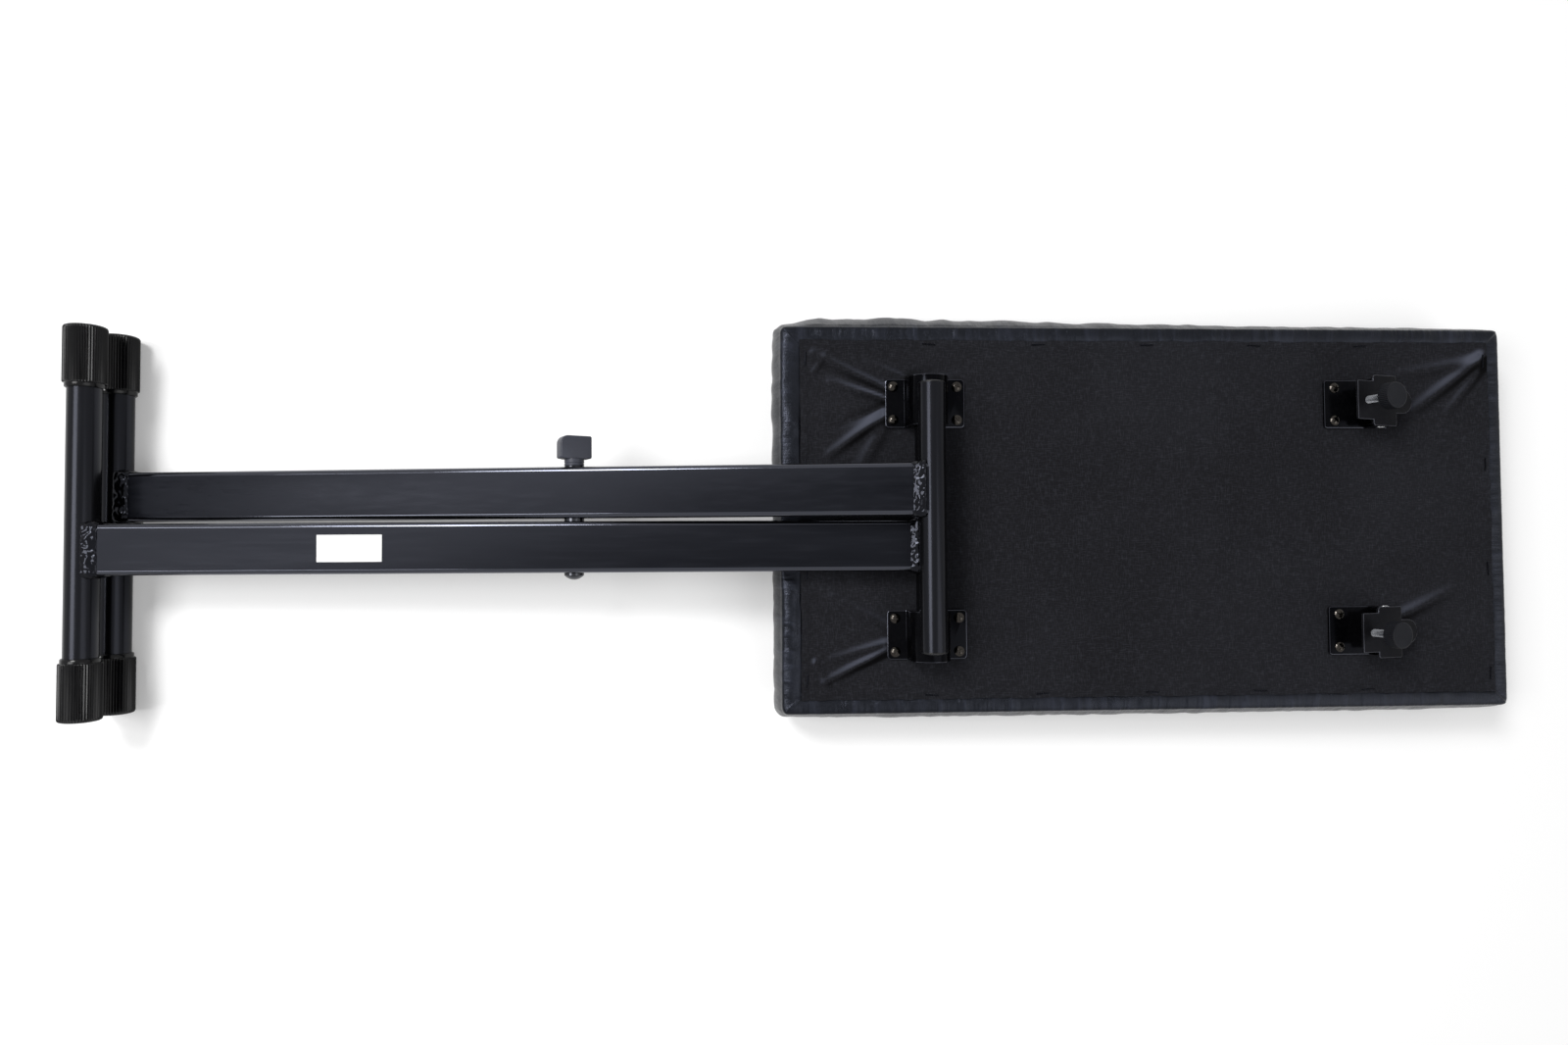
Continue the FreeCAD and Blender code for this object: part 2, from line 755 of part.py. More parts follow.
def pivot_knob():
    """Wing knob with a round collar, turned a little against the tube."""
    base = knob_base()
    foot = base + collar_length
    top = foot + wing_height
    half = wing_width / 2
    shoulder = foot + wing_shoulder
    round_cut = wing_round * (1 - DIAGONAL)
    heel_cut = wing_heel_round * (1 - DIAGONAL)

    def at(x, y):
        return Vector(x, y, -wing_thickness / 2)

    wire = outline(
        at(-bolt_head_radius, foot),
        at(bolt_head_radius, foot),
        at(half, shoulder),
        at(half, top - wing_heel_round),
        (at(half - heel_cut, top - heel_cut), at(half - wing_heel_round, top)),
        at(wing_round - half, top),
        (at(round_cut - half, top - round_cut), at(-half, top - wing_round)),
        at(-half, shoulder),
    )
    wing = Part.Face(wire).extrude(Z_AXIS * wing_thickness)
    flat = [
        edge for edge in wing.Edges
        if abs(abs(edge.CenterOfMass.z) - wing_thickness / 2) < screw_fit
        and edge.CenterOfMass.y > shoulder + screw_fit
    ]
    wing = wing.makeFillet(wing_fillet, flat)
    collar = rod(bolt_head_radius, (base, foot + wing_shoulder / 2))
    knob = joined(wing, collar)
    bolt_hole = rod(bolt_radius + running_gap, (base - overrun, top - bolt_end_cover + running_gap))
    socket = rod(insert_radius + screw_fit, (base - overrun, base + insert_length))
    return aim(knob.cut([bolt_hole, socket]), [(Y_AXIS, wing_turn)], Vector())


def pivot_knob_insert():
    """Threaded insert of the wing knob."""
    base = knob_base()
    return ring(insert_radius, bolt_radius + screw_fit, (base, base + insert_length))


def save(name, pieces):
    """Write one node, which is one solid or a group of separate solids."""
    shape = Part.makeCompound(pieces) if isinstance(pieces, list) else pieces
    solids = shape.Solids
    if len(solids) == 1:
        shape = solids[0]
    assert shape.isValid() and solids, name
    shape.exportStep(f"parts/{name}.step")
    print(f"{name:24s} solids {len(solids):2d}  volume {shape.Volume / CUBIC_CENTIMETRE:9.2f} cm3")


def seat_nodes():
    """Nodes that are fixed to the seat."""
    screw = pan_head_screw()
    nodes = {
        "seat_board": seat_board(),
        "seat_foam": seat_foam(),
        "seat_cover": seat_cover(),
        "dust_cover": dust_cover(),
        "dust_cover_staples": staples(),
        "hinge_saddle_screws": [aim(screw, [], place) for place in saddle_screw_places()],
        "clamp_base_screws": [aim(screw, [], place) for place in clamp_screw_places()],
    }
    for name, side in SIDES.items():
        nodes[f"hinge_saddle_{name}"] = saddle(side)
        nodes[f"clamp_base_{name}"] = clamp_base(side)
        nodes[f"clamp_pin_{name}"] = clamp_pin(side)
    return nodes


def turning_nodes():
    """Bushes, jaws and thumb screws."""
    nodes = {}
    for name, side in SIDES.items():
        nodes[f"hinge_bush_{name}"] = hinge_bush(side)
        nodes[f"clamp_jaw_{name}"] = clamp_jaw(side)
        nodes[f"thumb_screw_{name}"] = thumb_screw(side)
        nodes[f"thumb_knob_{name}"] = thumb_knob(side)
    return nodes


def leg_nodes(leg, side, bar_name, bar_length, placed):
    """Tube, bars, caps, plugs and welds of one leg."""
    nodes = {
        f"{leg}_tube": leg_tube(side),
        f"{leg}_foot_bar": foot_bar(),
        f"{leg}_{bar_name}": top_bar(bar_length),
        f"{leg}_foot_weld": weld(side, -pivot_to_foot, foot_bar_radius, 1),
        f"{leg}_top_weld": weld(side, pivot_to_top, top_bar_radius, -1),
        f"{leg}_pivot_sleeve": pivot_sleeve(side),
    }
    for name, end in SIDES.items():
        nodes[f"{leg}_foot_cap_{name}"] = foot_cap(end)
    nodes = {name: placed(piece) for name, piece in nodes.items()}
    nodes[f"{bar_name}_plugs"] = [placed(plug) for plug in bar_plugs(bar_length)]
    return nodes


def pivot_nodes():
    """Bolt, washers, label and knob, which all ride on leg A."""
    edge = stack_edge()
    inner = tube_spacing / 2 - running_gap
    nodes = {
        "blank_label": blank_label(),
        "pivot_bolt": pivot_bolt(),
        "pivot_head_washer": washer(-edge - washer_thickness, -edge),
        "pivot_spacer_washer": washer(-inner, inner),
        "pivot_knob_washer": washer(edge + running_gap, edge + washer_thickness),
        "pivot_knob": pivot_knob(),
        "pivot_knob_insert": pivot_knob_insert(),
    }
    return {name: on_leg_a(piece) for name, piece in nodes.items()}


def main():
    """Build every node and write it."""
    os.makedirs("parts", exist_ok=True)
    nodes = {}
    nodes.update(seat_nodes())
    nodes.update(turning_nodes())
    nodes.update(leg_nodes("leg_a", -1, "hinge_bar", hinge_bar_length, on_leg_a))
    nodes.update(leg_nodes("leg_b", 1, "free_bar", free_bar_length, on_leg_b))
    nodes.update(pivot_nodes())
    for name, pieces in nodes.items():
        save(name, pieces)
    print("nodes", len(nodes), "hinge", hinge, "pivot", pivot, "tilts", leg_a_tilt, leg_b_tilt)


main()
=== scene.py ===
"""Looks of a keyboard bench, folded flat and lying on its sitting face.

Every length in the classes is in millimetres, and each mesh is brought to metres when it is placed.
"""

import json
import logging
import math
import sys
from dataclasses import dataclass
from enum import Enum

import bmesh
import bpy
import numpy as np
from mathutils import Matrix, Vector, noise

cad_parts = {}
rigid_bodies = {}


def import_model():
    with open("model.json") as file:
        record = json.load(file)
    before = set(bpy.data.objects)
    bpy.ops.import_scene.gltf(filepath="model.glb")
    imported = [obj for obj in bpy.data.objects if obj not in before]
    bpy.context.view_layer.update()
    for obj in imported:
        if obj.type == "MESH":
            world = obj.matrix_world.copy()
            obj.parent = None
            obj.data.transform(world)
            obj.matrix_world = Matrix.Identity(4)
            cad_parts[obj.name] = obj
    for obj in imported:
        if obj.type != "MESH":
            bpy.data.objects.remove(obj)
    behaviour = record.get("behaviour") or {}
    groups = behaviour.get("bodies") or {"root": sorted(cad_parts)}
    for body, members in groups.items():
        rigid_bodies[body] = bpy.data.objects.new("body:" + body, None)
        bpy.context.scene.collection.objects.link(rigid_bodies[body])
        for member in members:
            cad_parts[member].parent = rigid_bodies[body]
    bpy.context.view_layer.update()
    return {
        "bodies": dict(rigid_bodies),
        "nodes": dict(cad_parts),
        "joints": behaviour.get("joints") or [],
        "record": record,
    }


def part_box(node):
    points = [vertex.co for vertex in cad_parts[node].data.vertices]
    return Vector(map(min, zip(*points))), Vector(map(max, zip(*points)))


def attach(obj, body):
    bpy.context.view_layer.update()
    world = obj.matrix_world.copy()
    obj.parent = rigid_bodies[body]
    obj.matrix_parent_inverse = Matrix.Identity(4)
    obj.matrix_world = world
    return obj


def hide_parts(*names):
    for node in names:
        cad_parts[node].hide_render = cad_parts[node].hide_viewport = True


LOG = logging.getLogger("bench")
MM = 0.001
TURN = 2 * math.pi
EVEN = (1.0, 1.0, 1.0)
# Points nearer than this many millimetres are at the same place
NEAR = 1e-3
# Edges at a larger angle than this, in radians, are softened
SHARP = 0.9
# Distance between the front and rear brackets, and the level of the cover that they stand on
BRACKET_SPREAD = 185.2
BRACKET_LEVEL = 61.0
# Place of the clamps' screws along X, and of leg A's tube along Y
CLAMP_LINE = 155.4
TUBE_LINE = -21.25


class Side(Enum):
    """The two sides of the bench, with their sign along Y."""

    FRONT = -1
    REAR = 1

    @property
    def word(self) -> str:
        """Word used in the names of nodes."""
        return self.name.lower()


class Grain(Enum):
    """Direction in which a finish is streaked, as a stretch of its pattern."""

    NONE = (1.0, 1.0, 1.0)
    ALONG_X = (0.06, 1.0, 1.0)
    ALONG_Y = (1.0, 0.06, 1.0)


def tint(code: str) -> tuple[float, float, float, float]:
    """Turn a colour written as #rrggbb into linear light.

    Args:
        code: The colour as a screen shows it.

    Returns:
        Red, green, blue and an opaque alpha.
    """
    parts = [int(code[at : at + 2], 16) / 255 for at in (1, 3, 5)]
    linear = [p / 12.92 if p <= 0.04045 else ((p + 0.055) / 1.055) ** 2.4 for p in parts]
    return (*linear, 1.0)


def toned(code: str, factor: float, lift: float = 0.0) -> tuple[float, float, float, float]:
    """Lighter or darker tone of a colour.

    Args:
        code: The colour as a screen shows it.
        factor: Factor on its linear light.
        lift: Light that is added to it.

    Returns:
        Red, green, blue and an opaque alpha.
    """
    return (*(min(1.0, part * factor + lift) for part in tint(code)[:3]), 1.0)


def within(value: float, least: float = 0.0) -> float:
    """Value held between a least one and 1."""
    return min(1.0, max(least, value))


def hump(value: float, middle: float, width: float) -> float:
    """Bell curve that is 1 at its middle and near 0 two widths away."""
    return math.exp(-(((value - middle) / width) ** 2))


def uneven(x: float, y: float, z: float) -> float:
    """Smooth noise between -1 and 1 at a point."""
    return noise.noise(Vector((x, y, z)))


class Value:
    """A number that a shader works out, with Python's arithmetic on it."""

    def __init__(self, shade: "Shade", socket: bpy.types.NodeSocket) -> None:
        """Keep the socket and the shader that owns it."""
        self.shade = shade
        self.socket = socket

    def __add__(self, other: "Value | float") -> "Value":
        """Sum of two numbers."""
        return self.shade.number("ADD", self, other)

    def __radd__(self, other: float) -> "Value":
        """Sum with a plain number in front."""
        return self.shade.number("ADD", other, self)

    def __sub__(self, other: "Value | float") -> "Value":
        """Difference of two numbers."""
        return self.shade.number("SUBTRACT", self, other)

    def __rsub__(self, other: float) -> "Value":
        """Difference from a plain number in front."""
        return self.shade.number("SUBTRACT", other, self)

    def __mul__(self, other: "Value | float") -> "Value":
        """Product of two numbers."""
        return self.shade.number("MULTIPLY", self, other)

    def __rmul__(self, other: float) -> "Value":
        """Product with a plain number in front."""
        return self.shade.number("MULTIPLY", other, self)

    def wave(self) -> "Value":
        """Sine of a number."""
        return self.shade.number("SINE", self)

    def size(self) -> "Value":
        """Number without its sign."""
        return self.shade.number("ABSOLUTE", self)

    def between(self, low: float, high: float) -> "Value":
        """Smooth step between two values.

        Args:
            low: Value up to which the result is 0.
            high: Value from which it is 1.

        Returns:
            The step.
        """
        settings = {"interpolation_type": "SMOOTHSTEP"}
        values = {"Value": self, "From Min": low, "From Max": high, "To Min": 0.0, "To Max": 1.0}
        return Value(self.shade, self.shade.add("ShaderNodeMapRange", settings, values).outputs[0])


class Shade:
    """A material, or the world's shader, under construction."""

    def __init__(self, name: str, kind: str = "materials") -> None:
        """Start it without any node.

        Args:
            name: Name of the material or world.
            kind: Where Blender keeps it, materials or worlds.
        """
        self.material = getattr(bpy.data, kind).new(name)
        self.material.use_nodes = True
        self.tree = self.material.node_tree
        self.tree.nodes.clear()
        self.place = None

    def add(self, kind: str, settings: dict | None = None, values: dict | None = None) -> bpy.types.Node:
        """Add one node.

        Args:
            kind: Type of the node.
            settings: Properties of the node, which are set first.
            values: What goes into its sockets, by name or by number.

        Returns:
            The new node.
        """
        node = self.tree.nodes.new(kind)
        for key, value in (settings or {}).items():
            setattr(node, key, value)
        for key, value in (values or {}).items():
            socket = node.inputs[key]
            if isinstance(value, Value):
                value = value.socket
            if isinstance(value, bpy.types.NodeSocket):
                self.tree.links.new(value, socket)
            else:
                socket.default_value = value
        return node

    def number(self, operation: str, *values: "Value | float") -> Value:
        """Add a Math node.

        Args:
            operation: What the node does.
            values: One or two numbers.

        Returns:
            The node's result.
        """
        node = self.add("ShaderNodeMath", {"operation": operation}, dict(enumerate(values)))
        return Value(self, node.outputs[0])

    def stretched(self, stretch: tuple = EVEN, turn: float = 0.0) -> bpy.types.NodeSocket:
        """Object coordinates through a Mapping node.

        Args:
            stretch: Scale of the pattern along X, Y and Z.
            turn: Turn about Z in radians.

        Returns:
            A vector socket.
        """
        if self.place is None:
            self.place = self.add("ShaderNodeTexCoord").outputs["Object"]
        values = {"Vector": self.place, "Scale": stretch, "Rotation": (0.0, 0.0, turn)}
        return self.add("ShaderNodeMapping", None, values).outputs["Vector"]

    def axes(self) -> tuple[Value, Value, Value]:
        """X, Y and Z of the object coordinates."""
        split = self.add("ShaderNodeSeparateXYZ", None, {"Vector": self.stretched()})
        return tuple(Value(self, socket) for socket in split.outputs)

    def cloud(self, scale: float, detail: float = 3.0, stretch: tuple = EVEN, turn: float = 0.0) -> Value:
        """Noise on the object coordinates.

        Args:
            scale: Cells in a metre.
            detail: Octaves of finer noise.
            stretch: Scale along each axis.
            turn: Turn about Z in radians.

        Returns:
            A number near one half.
        """
        values = {"Vector": self.stretched(stretch, turn), "Scale": scale, "Detail": detail}
        return Value(self, self.add("ShaderNodeTexNoise", None, values).outputs[0])

    def cells(self, scale: float) -> Value:
        """Distance in a cell pattern on the object coordinates."""
        values = {"Vector": self.stretched(), "Scale": scale}
        return Value(self, self.add("ShaderNodeTexVoronoi", None, values).outputs["Distance"])

    def mixed(self, share: Value, first: object, second: object) -> bpy.types.NodeSocket:
        """Mix two colours.

        Args:
            share: How much of the second colour shows.
            first: A colour or a colour socket.
            second: Another one.

        Returns:
            A colour socket.
        """
        return self.add("ShaderNodeMix", {"data_type": "RGBA"}, {0: share, 6: first, 7: second}).outputs[2]

    def relief(
        self, height: Value, depth: float, strength: float = 1.0, under: object = None
    ) -> bpy.types.NodeSocket:
        """Bump from a height.

        Args:
            height: Height from 0 to 1.
            depth: Depth of the relief in millimetres.
            strength: Strength of the bump.
            under: A bump that this one lies on.

        Returns:
            A normal socket.
        """
        values = {"Height": height, "Distance": depth * MM, "Strength": strength}
        if under is not None:
            values["Normal"] = under
        return self.add("ShaderNodeBump", None, values).outputs[0]

    def rays(self, *kinds: str) -> Value:
        """Find out what kind of ray sees the surface.

        Args:
            kinds: Kinds of rays, such as Camera or Glossy.

        Returns:
            1 for a ray of one of these kinds and otherwise 0.
        """
        path = self.add("ShaderNodeLightPath")
        first, *others = [Value(self, path.outputs[f"Is {kind} Ray"]) for kind in kinds]
        for other in others:
            first = self.number("MAXIMUM", first, other)
        return first

    def surface(self, colour: object, rough: Value, normal: object, **fixed: object) -> bpy.types.Material:
        """Finish the material with one Principled surface.

        Args:
            colour: Colour or colour socket.
            rough: Roughness.
            normal: Normal socket.
            fixed: Specular, tint and metallic, the same all over the surface.

        Returns:
            The material.
        """
        names = {"specular": "Specular IOR Level", "tint": "Specular Tint", "metallic": "Metallic"}
        values = {"Base Color": colour, "Roughness": rough, "Normal": normal}
        values.update({names[key]: value for key, value in fixed.items()})
        body = self.add("ShaderNodeBsdfPrincipled", None, values)
        self.add("ShaderNodeOutputMaterial", None, {"Surface": body.outputs[0]})
        return self.material


@dataclass(frozen=True)
class Paint:
    """Stoved black paint with a slight orange peel, smudges and streaks."""

    name: str
    colour: str
    roughness: float = 0.3
    specular: float = 0.1
    peel: float = 0.02
    smudge: float = 0.1
    grain: Grain = Grain.NONE
    hue: str = "#e4e9ff"

    def make(self) -> bpy.types.Material:
        """Build the material.

        Returns:
            The material.
        """
        shade = Shade(self.name)
        smudges = shade.cloud(22.0, 4.0, self.grain.value)
        streaks = shade.cloud(320.0, 2.0, self.grain.value)
        specks = shade.cells(900.0)
        lifted = toned(self.colour, 2.4, 0.004)
        share = (smudges.between(0.35, 0.75) * 0.5 + streaks.between(0.45, 0.8) * 0.3) * 0.8
        colour = shade.mixed(share, tint(self.colour), lifted)
        rough = self.roughness + (smudges - 0.5) * (self.smudge * 1.2) + (streaks - 0.5) * (self.smudge * 0.7)
        bump = shade.relief(shade.cloud(650.0, 1.5), self.peel)
        bump = shade.relief(specks.between(0.0, 0.12), self.peel * 0.4, 0.5, bump)
        return shade.surface(colour, rough, bump, specular=self.specular, tint=tint(self.hue))


@dataclass(frozen=True)
class Metal:
    """Bare or plated metal with fine scratches."""

    name: str
    colour: str
    roughness: float = 0.2
    scratch: float = 0.01
    dirt: float = 0.2

    def make(self) -> bpy.types.Material:
        """Build the material.

        Returns:
            The material.
        """
        shade = Shade(self.name)
        stain = shade.cloud(420.0, 4.0)
        lines = shade.cloud(1500.0, 2.0, (1.0, 0.15, 1.0), 0.6)
        dull = toned(self.colour, 0.45)
        colour = shade.mixed(stain.between(0.5, 0.8) * self.dirt, tint(self.colour), dull)
        rough = self.roughness + (lines - 0.5) * 0.16 + stain.between(0.45, 0.75) * 0.12
        return shade.surface(colour, rough, shade.relief(lines, self.scratch, 0.6), metallic=1.0)


@dataclass(frozen=True)
class Moulded:
    """Moulded plastic or rubber with a fine spark-eroded grain."""

    name: str
    colour: str
    roughness: float = 0.55
    grain: float = 0.03
    specular: float = 0.15
    dust: float = 0.3

    def make(self) -> bpy.types.Material:
        """Build the material.

        Returns:
            The material.
        """
        shade = Shade(self.name)
        broad = shade.cloud(60.0, 4.0)
        fine = shade.cloud(2600.0, 2.0)
        pale = toned(self.colour, 1.8, 0.006)
        colour = shade.mixed(broad.between(0.4, 0.75) * self.dust, tint(self.colour), pale)
        rough = self.roughness + (broad - 0.5) * 0.16 + (fine - 0.5) * 0.1
        return shade.surface(colour, rough, shade.relief(fine, self.grain), specular=self.specular)


@dataclass(frozen=True)
class Leatherette:
    """Black coated cloth with a pebbled grain, fine puckers across its folds and painted sheen on their
    crests.
    """

    name: str
    colour: str
    sheen: str
    hue: str = "#dce4ff"
    specular: float = 0.24
    short_edge: tuple = (285.0, 293.0)
    folded: tuple = (34.0, 56.0)

    def make(self) -> bpy.types.Material:
        """Build the material.

        Returns:
            The material.
        """
        shade = Shade(self.name)
        x, _, z = shade.axes()
        pebble = shade.cells(1150.0)
        pores = shade.cells(2600.0)
        across_long = shade.cloud(150.0, 3.0, (1.0, 0.12, 0.18))
        across_short = shade.cloud(150.0, 3.0, (0.12, 1.0, 0.18))
        at_short = x.size().between(*(place * MM for place in self.short_edge))
        folds = across_long * (1.0 - at_short) + across_short * at_short
        near = z.between(*(level * MM for level in self.folded))
        wrinkles = (folds - 0.5) * (near * 0.9 + 0.1) + 0.5
        worn = shade.cloud(38.0, 5.0)
        # Painted sheen: the crests of the wrinkles and some patches take the lighter, bluish sheen colour,
        # and the same patches are rougher
        share = wrinkles.between(0.5, 0.72) * 0.65 + worn.between(0.45, 0.75) * 0.25
        colour = shade.mixed(share, tint(self.colour), tint(self.sheen))
        bump = shade.relief(wrinkles, 1.6, 0.9)
        bump = shade.relief(pebble.between(0.05, 0.6), 0.09, 0.8, bump)
        bump = shade.relief(pores.between(0.0, 0.3), 0.02, 0.5, bump)
        rough = 0.3 + (worn - 0.5) * 0.2 + (1.0 - pebble.between(0.1, 0.5)) * 0.1
        return shade.surface(colour, rough, bump, specular=self.specular, tint=tint(self.hue))


@dataclass(frozen=True)
class WovenCloth:
    """Thin black dust cloth, plain woven from slubby yarn, with painted light and shade on the flanks of its
    creases.
    """

    name: str
    dark: str
    light: str
    # Colours of the painted light and the painted shade on the flanks of the creases
    worn: str = "#50535f"
    shaded: str = "#050506"
    specular: float = 0.05
    yarn: float = 0.62

    def make(self) -> bpy.types.Material:
        """Build the material.

        Returns:
            The material.
        """
        shade = Shade(self.name)
        x, y, _ = shade.axes()
        pitch = TURN / (self.yarn * MM)
        wander_x = shade.cloud(90.0, 2.0, (0.15, 1.0, 1.0))
        wander_y = shade.cloud(90.0, 2.0, (1.0, 0.15, 1.0))
        warp = ((x * pitch + wander_y * 5.0).wave() + 1.0) * 0.5
        weft = ((y * pitch + wander_x * 5.0).wave() + 1.0) * 0.5
        slub_x = shade.cloud(1300.0, 1.0, (0.16, 1.0, 1.0))
        slub_y = shade.cloud(1300.0, 1.0, (1.0, 0.16, 1.0))
        slubs = slub_x.between(0.45, 0.8) * 0.5 + slub_y.between(0.45, 0.8) * 0.5
        weave = warp * weft + slubs * 0.5
        blotch = shade.cloud(9.0, 3.0)
        share = slubs * 0.7 + weave * 0.2 + blotch.between(0.35, 0.75) * 0.15
        # Painted light and shade: crease flanks that face the key lamp take a pale colour, and flanks turned
        # away from it a near black one
        nap = Value(shade, shade.add("ShaderNodeAttribute", {"attribute_name": "nap"}).outputs["Fac"])
        colour = shade.mixed(share, tint(self.dark), tint(self.light))
        colour = shade.mixed(nap.between(0.04, 0.9), colour, tint(self.worn))
        colour = shade.mixed((nap * -1.0).between(0.04, 0.7), colour, tint(self.shaded))
        bump = shade.relief(weave, 0.22, 0.9)
        bump = shade.relief(shade.cloud(45.0, 4.0), 1.0, 0.35, bump)
        return shade.surface(colour, 0.86 + (weave - 0.5) * 0.12, bump, specular=self.specular)


@dataclass(frozen=True)
class Film:
    """White printed film without any print on it."""

    name: str
    colour: str

    def make(self) -> bpy.types.Material:
        """Build the material.

        Returns:
            The material.
        """
        shade = Shade(self.name)
        stain = shade.cloud(160.0, 4.0)
        grey = toned(self.colour, 0.82)
        colour = shade.mixed(stain.between(0.45, 0.8) * 0.5, tint(self.colour), grey)
        return shade.surface(colour, 0.35 + (stain - 0.5) * 0.2, shade.relief(stain, 0.02, 0.5))


@dataclass(frozen=True)
class Panel:
    """Raw wood panel with long fibres."""

    name: str
    dark: str
    light: str

    def make(self) -> bpy.types.Material:
        """Build the material.

        Returns:
            The material.
        """
        shade = Shade(self.name)
        fibres = shade.cloud(260.0, 5.0, (0.08, 1.0, 1.0))
        rings = shade.cloud(24.0, 3.0, (0.15, 1.0, 1.0))
        colour = shade.mixed(fibres * 0.5 + rings * 0.5, tint(self.dark), tint(self.light))
        return shade.surface(colour, 0.7 + (fibres - 0.5) * 0.2, shade.relief(fibres, 0.1, 0.7))


class Finishes:
    """All finishes of the bench, each made once when it is first asked for."""

    TUBE = Paint("tube_paint", "#0c0d11", 0.34, 0.1, 0.012, 0.3, Grain.ALONG_X)
    TUBE_EDGE = Paint("tube_edge_paint", "#050506", 0.09, 1.0, 0.004, 0.03, Grain.ALONG_X)
    BAR = Paint("bar_paint", "#050506", 0.2, 0.2, 0.008, 0.08, Grain.ALONG_Y)
    BRACKET = Paint("bracket_paint", "#020203", 0.16, 0.045, 0.01, 0.05)
    BRACKET_EDGE = Paint("bracket_edge_paint", "#0a0a0c", 0.16, 0.9, 0.01, 0.05)
    JAW = Paint("jaw_paint", "#0c0c0e", 0.42, 0.06, 0.012, 0.1)
    JAW_EDGE = Paint("jaw_edge_paint", "#26262a", 0.3, 0.5, 0.012, 0.1)
    WELD = Paint("weld_paint", "#020203", 0.1, 0.22, 0.01, 0.04)
    WING = Moulded("wing_plastic", "#373942", 0.42, 0.02, 0.24)
    KNOB = Moulded("knob_plastic", "#17181c", 0.5, 0.04, 0.12)
    KNOB_FACE = Moulded("knob_face_plastic", "#1b1c20", 0.6, 0.05, 0.08)
    CAP = Moulded("cap_plastic", "#050507", 0.2, 0.008, 0.22, 0.2)
    PLUG = Moulded("plug_plastic", "#0b0b0e", 0.34, 0.02, 0.2)
    NYLON = Moulded("bush_nylon", "#17171a", 0.45, 0.02, 0.2)
    CHROME = Metal("chrome", "#d9dadd", 0.14)
    SCREW = Metal("screw_plating", "#3b3835", 0.14, 0.01, 0.4)
    ZINC = Metal("zinc_plating", "#8f9196", 0.26, 0.015, 0.4)
    BRASS = Metal("brass", "#c9a55a", 0.3)
    STAPLE = Metal("staple_wire", "#141519", 0.35, 0.01, 0.7)
    DARK_CHROME = Metal("dark_chrome", "#3e3f43", 0.13, 0.008, 0.3)
    LEATHER = Leatherette("seat_leatherette", "#08090b", "#20222a")
    CLOTH = WovenCloth("dust_cloth", "#1a1a1d", "#34353b")
    LABEL = Film("label_film", "#dedede")
    WOOD = Panel("board_wood", "#8d6a41", "#c9a878")

    _made: dict = {}

    @classmethod
    def material(cls, finish: object) -> bpy.types.Material:
        """Material of a finish.

        Args:
            finish: One of the finishes above.

        Returns:
            The material, the same one for the same finish.
        """
        if finish.name not in cls._made:
            cls._made[finish.name] = finish.make()
        return cls._made[finish.name]


def bevel(
    bm: bmesh.types.BMesh, parts: list, offset: float, segments: int, rim: bool = False, affect: str = "EDGES"
) -> None:
    """Round edges or corners.

    Args:
        bm: Mesh to change.
        parts: Edges or vertices to round.
        offset: Distance at which the round starts.
        segments: Steps across the round.
        rim: Whether the new faces take the second finish of the piece.
        affect: EDGES, or VERTICES for the corners of a flat outline.
    """
    made = bmesh.ops.bevel(
        bm, geom=parts, offset=offset, offset_type="OFFSET", segments=segments, profile=0.5,
        affect=affect, clamp_overlap=False, material=-1,
    )
    for face in made["faces"]:
        face.material_index = int(rim)


def only(kind: type, parts: list) -> list:
    """Vertices, edges or faces among the parts that an operator gives back."""
    return [part for part in parts if isinstance(part, kind)]


def moved(bm: bmesh.types.BMesh, place: Matrix) -> bmesh.types.BMesh:
    """Place a mesh and give it back."""
    bmesh.ops.transform(bm, matrix=place, verts=bm.verts)
    return bm


def seal(bm: bmesh.types.BMesh, gap: float = 1e-4) -> bmesh.types.BMesh:
    """Merge doubles and turn the faces outwards.

    Args:
        bm: Mesh to close.
        gap: Points nearer than this become one.

    Returns:
        The same mesh.
    """
    bmesh.ops.remove_doubles(bm, verts=bm.verts, dist=gap)
    bmesh.ops.recalc_face_normals(bm, faces=bm.faces)
    return bm


def lathe(profile: list, steps: int = 64) -> bmesh.types.BMesh:
    """Turn a profile round Z.

    Args:
        profile: Radius and height of each point, from axis to axis.
        steps: Steps in the full turn.

    Returns:
        A closed mesh.
    """
    bm = bmesh.new()
    points = [bm.verts.new((radius, 0, height)) for radius, height in profile]
    lines = [bm.edges.new(pair) for pair in zip(points, points[1:])]
    bmesh.ops.spin(
        bm, geom=points + lines, cent=(0, 0, 0), axis=(0, 0, 1), dvec=(0, 0, 0), angle=TURN,
        steps=steps, use_merge=True, use_duplicate=False,
    )
    return seal(bm)


def arc(radius: float, height: float, steps: int = 8, base: float = 0.0) -> list:
    """Profile of a shallow dome, from its rim to the axis.

    Args:
        radius: Radius of the rim.
        height: Rise of the dome over its rim.
        steps: Points along the dome.
        base: Height of the rim.

    Returns:
        Radius and height of each point.
    """
    ball = (radius**2 + height**2) / (2 * height)
    reach = math.asin(min(1.0, radius / ball))
    if height > radius:
        reach = math.pi - reach
    angles = [reach * (1 - step / steps) for step in range(steps + 1)]
    return [(ball * math.sin(a), base + height - ball * (1 - math.cos(a))) for a in angles]


def rounded_box(size: tuple, corner: float = 0.0, edge: float = 0.0, steps: int = 4) -> bmesh.types.BMesh:
    """Block with round upright corners and softened edges.

    Args:
        size: Length, width and height.
        corner: Radius of the upright corners.
        edge: Radius of all other edges.
        steps: Steps across each round.

    Returns:
        A closed mesh about the origin.
    """
    bm = bmesh.new()
    bmesh.ops.create_cube(bm, size=1)
    bmesh.ops.scale(bm, vec=size, verts=bm.verts)
    if corner:
        upright = [e for e in bm.edges if abs(e.verts[0].co.z - e.verts[1].co.z) > size[2] / 2]
        bevel(bm, upright, corner, steps, rim=True)
    if edge:
        soften(bm, edge)
    return seal(bm)


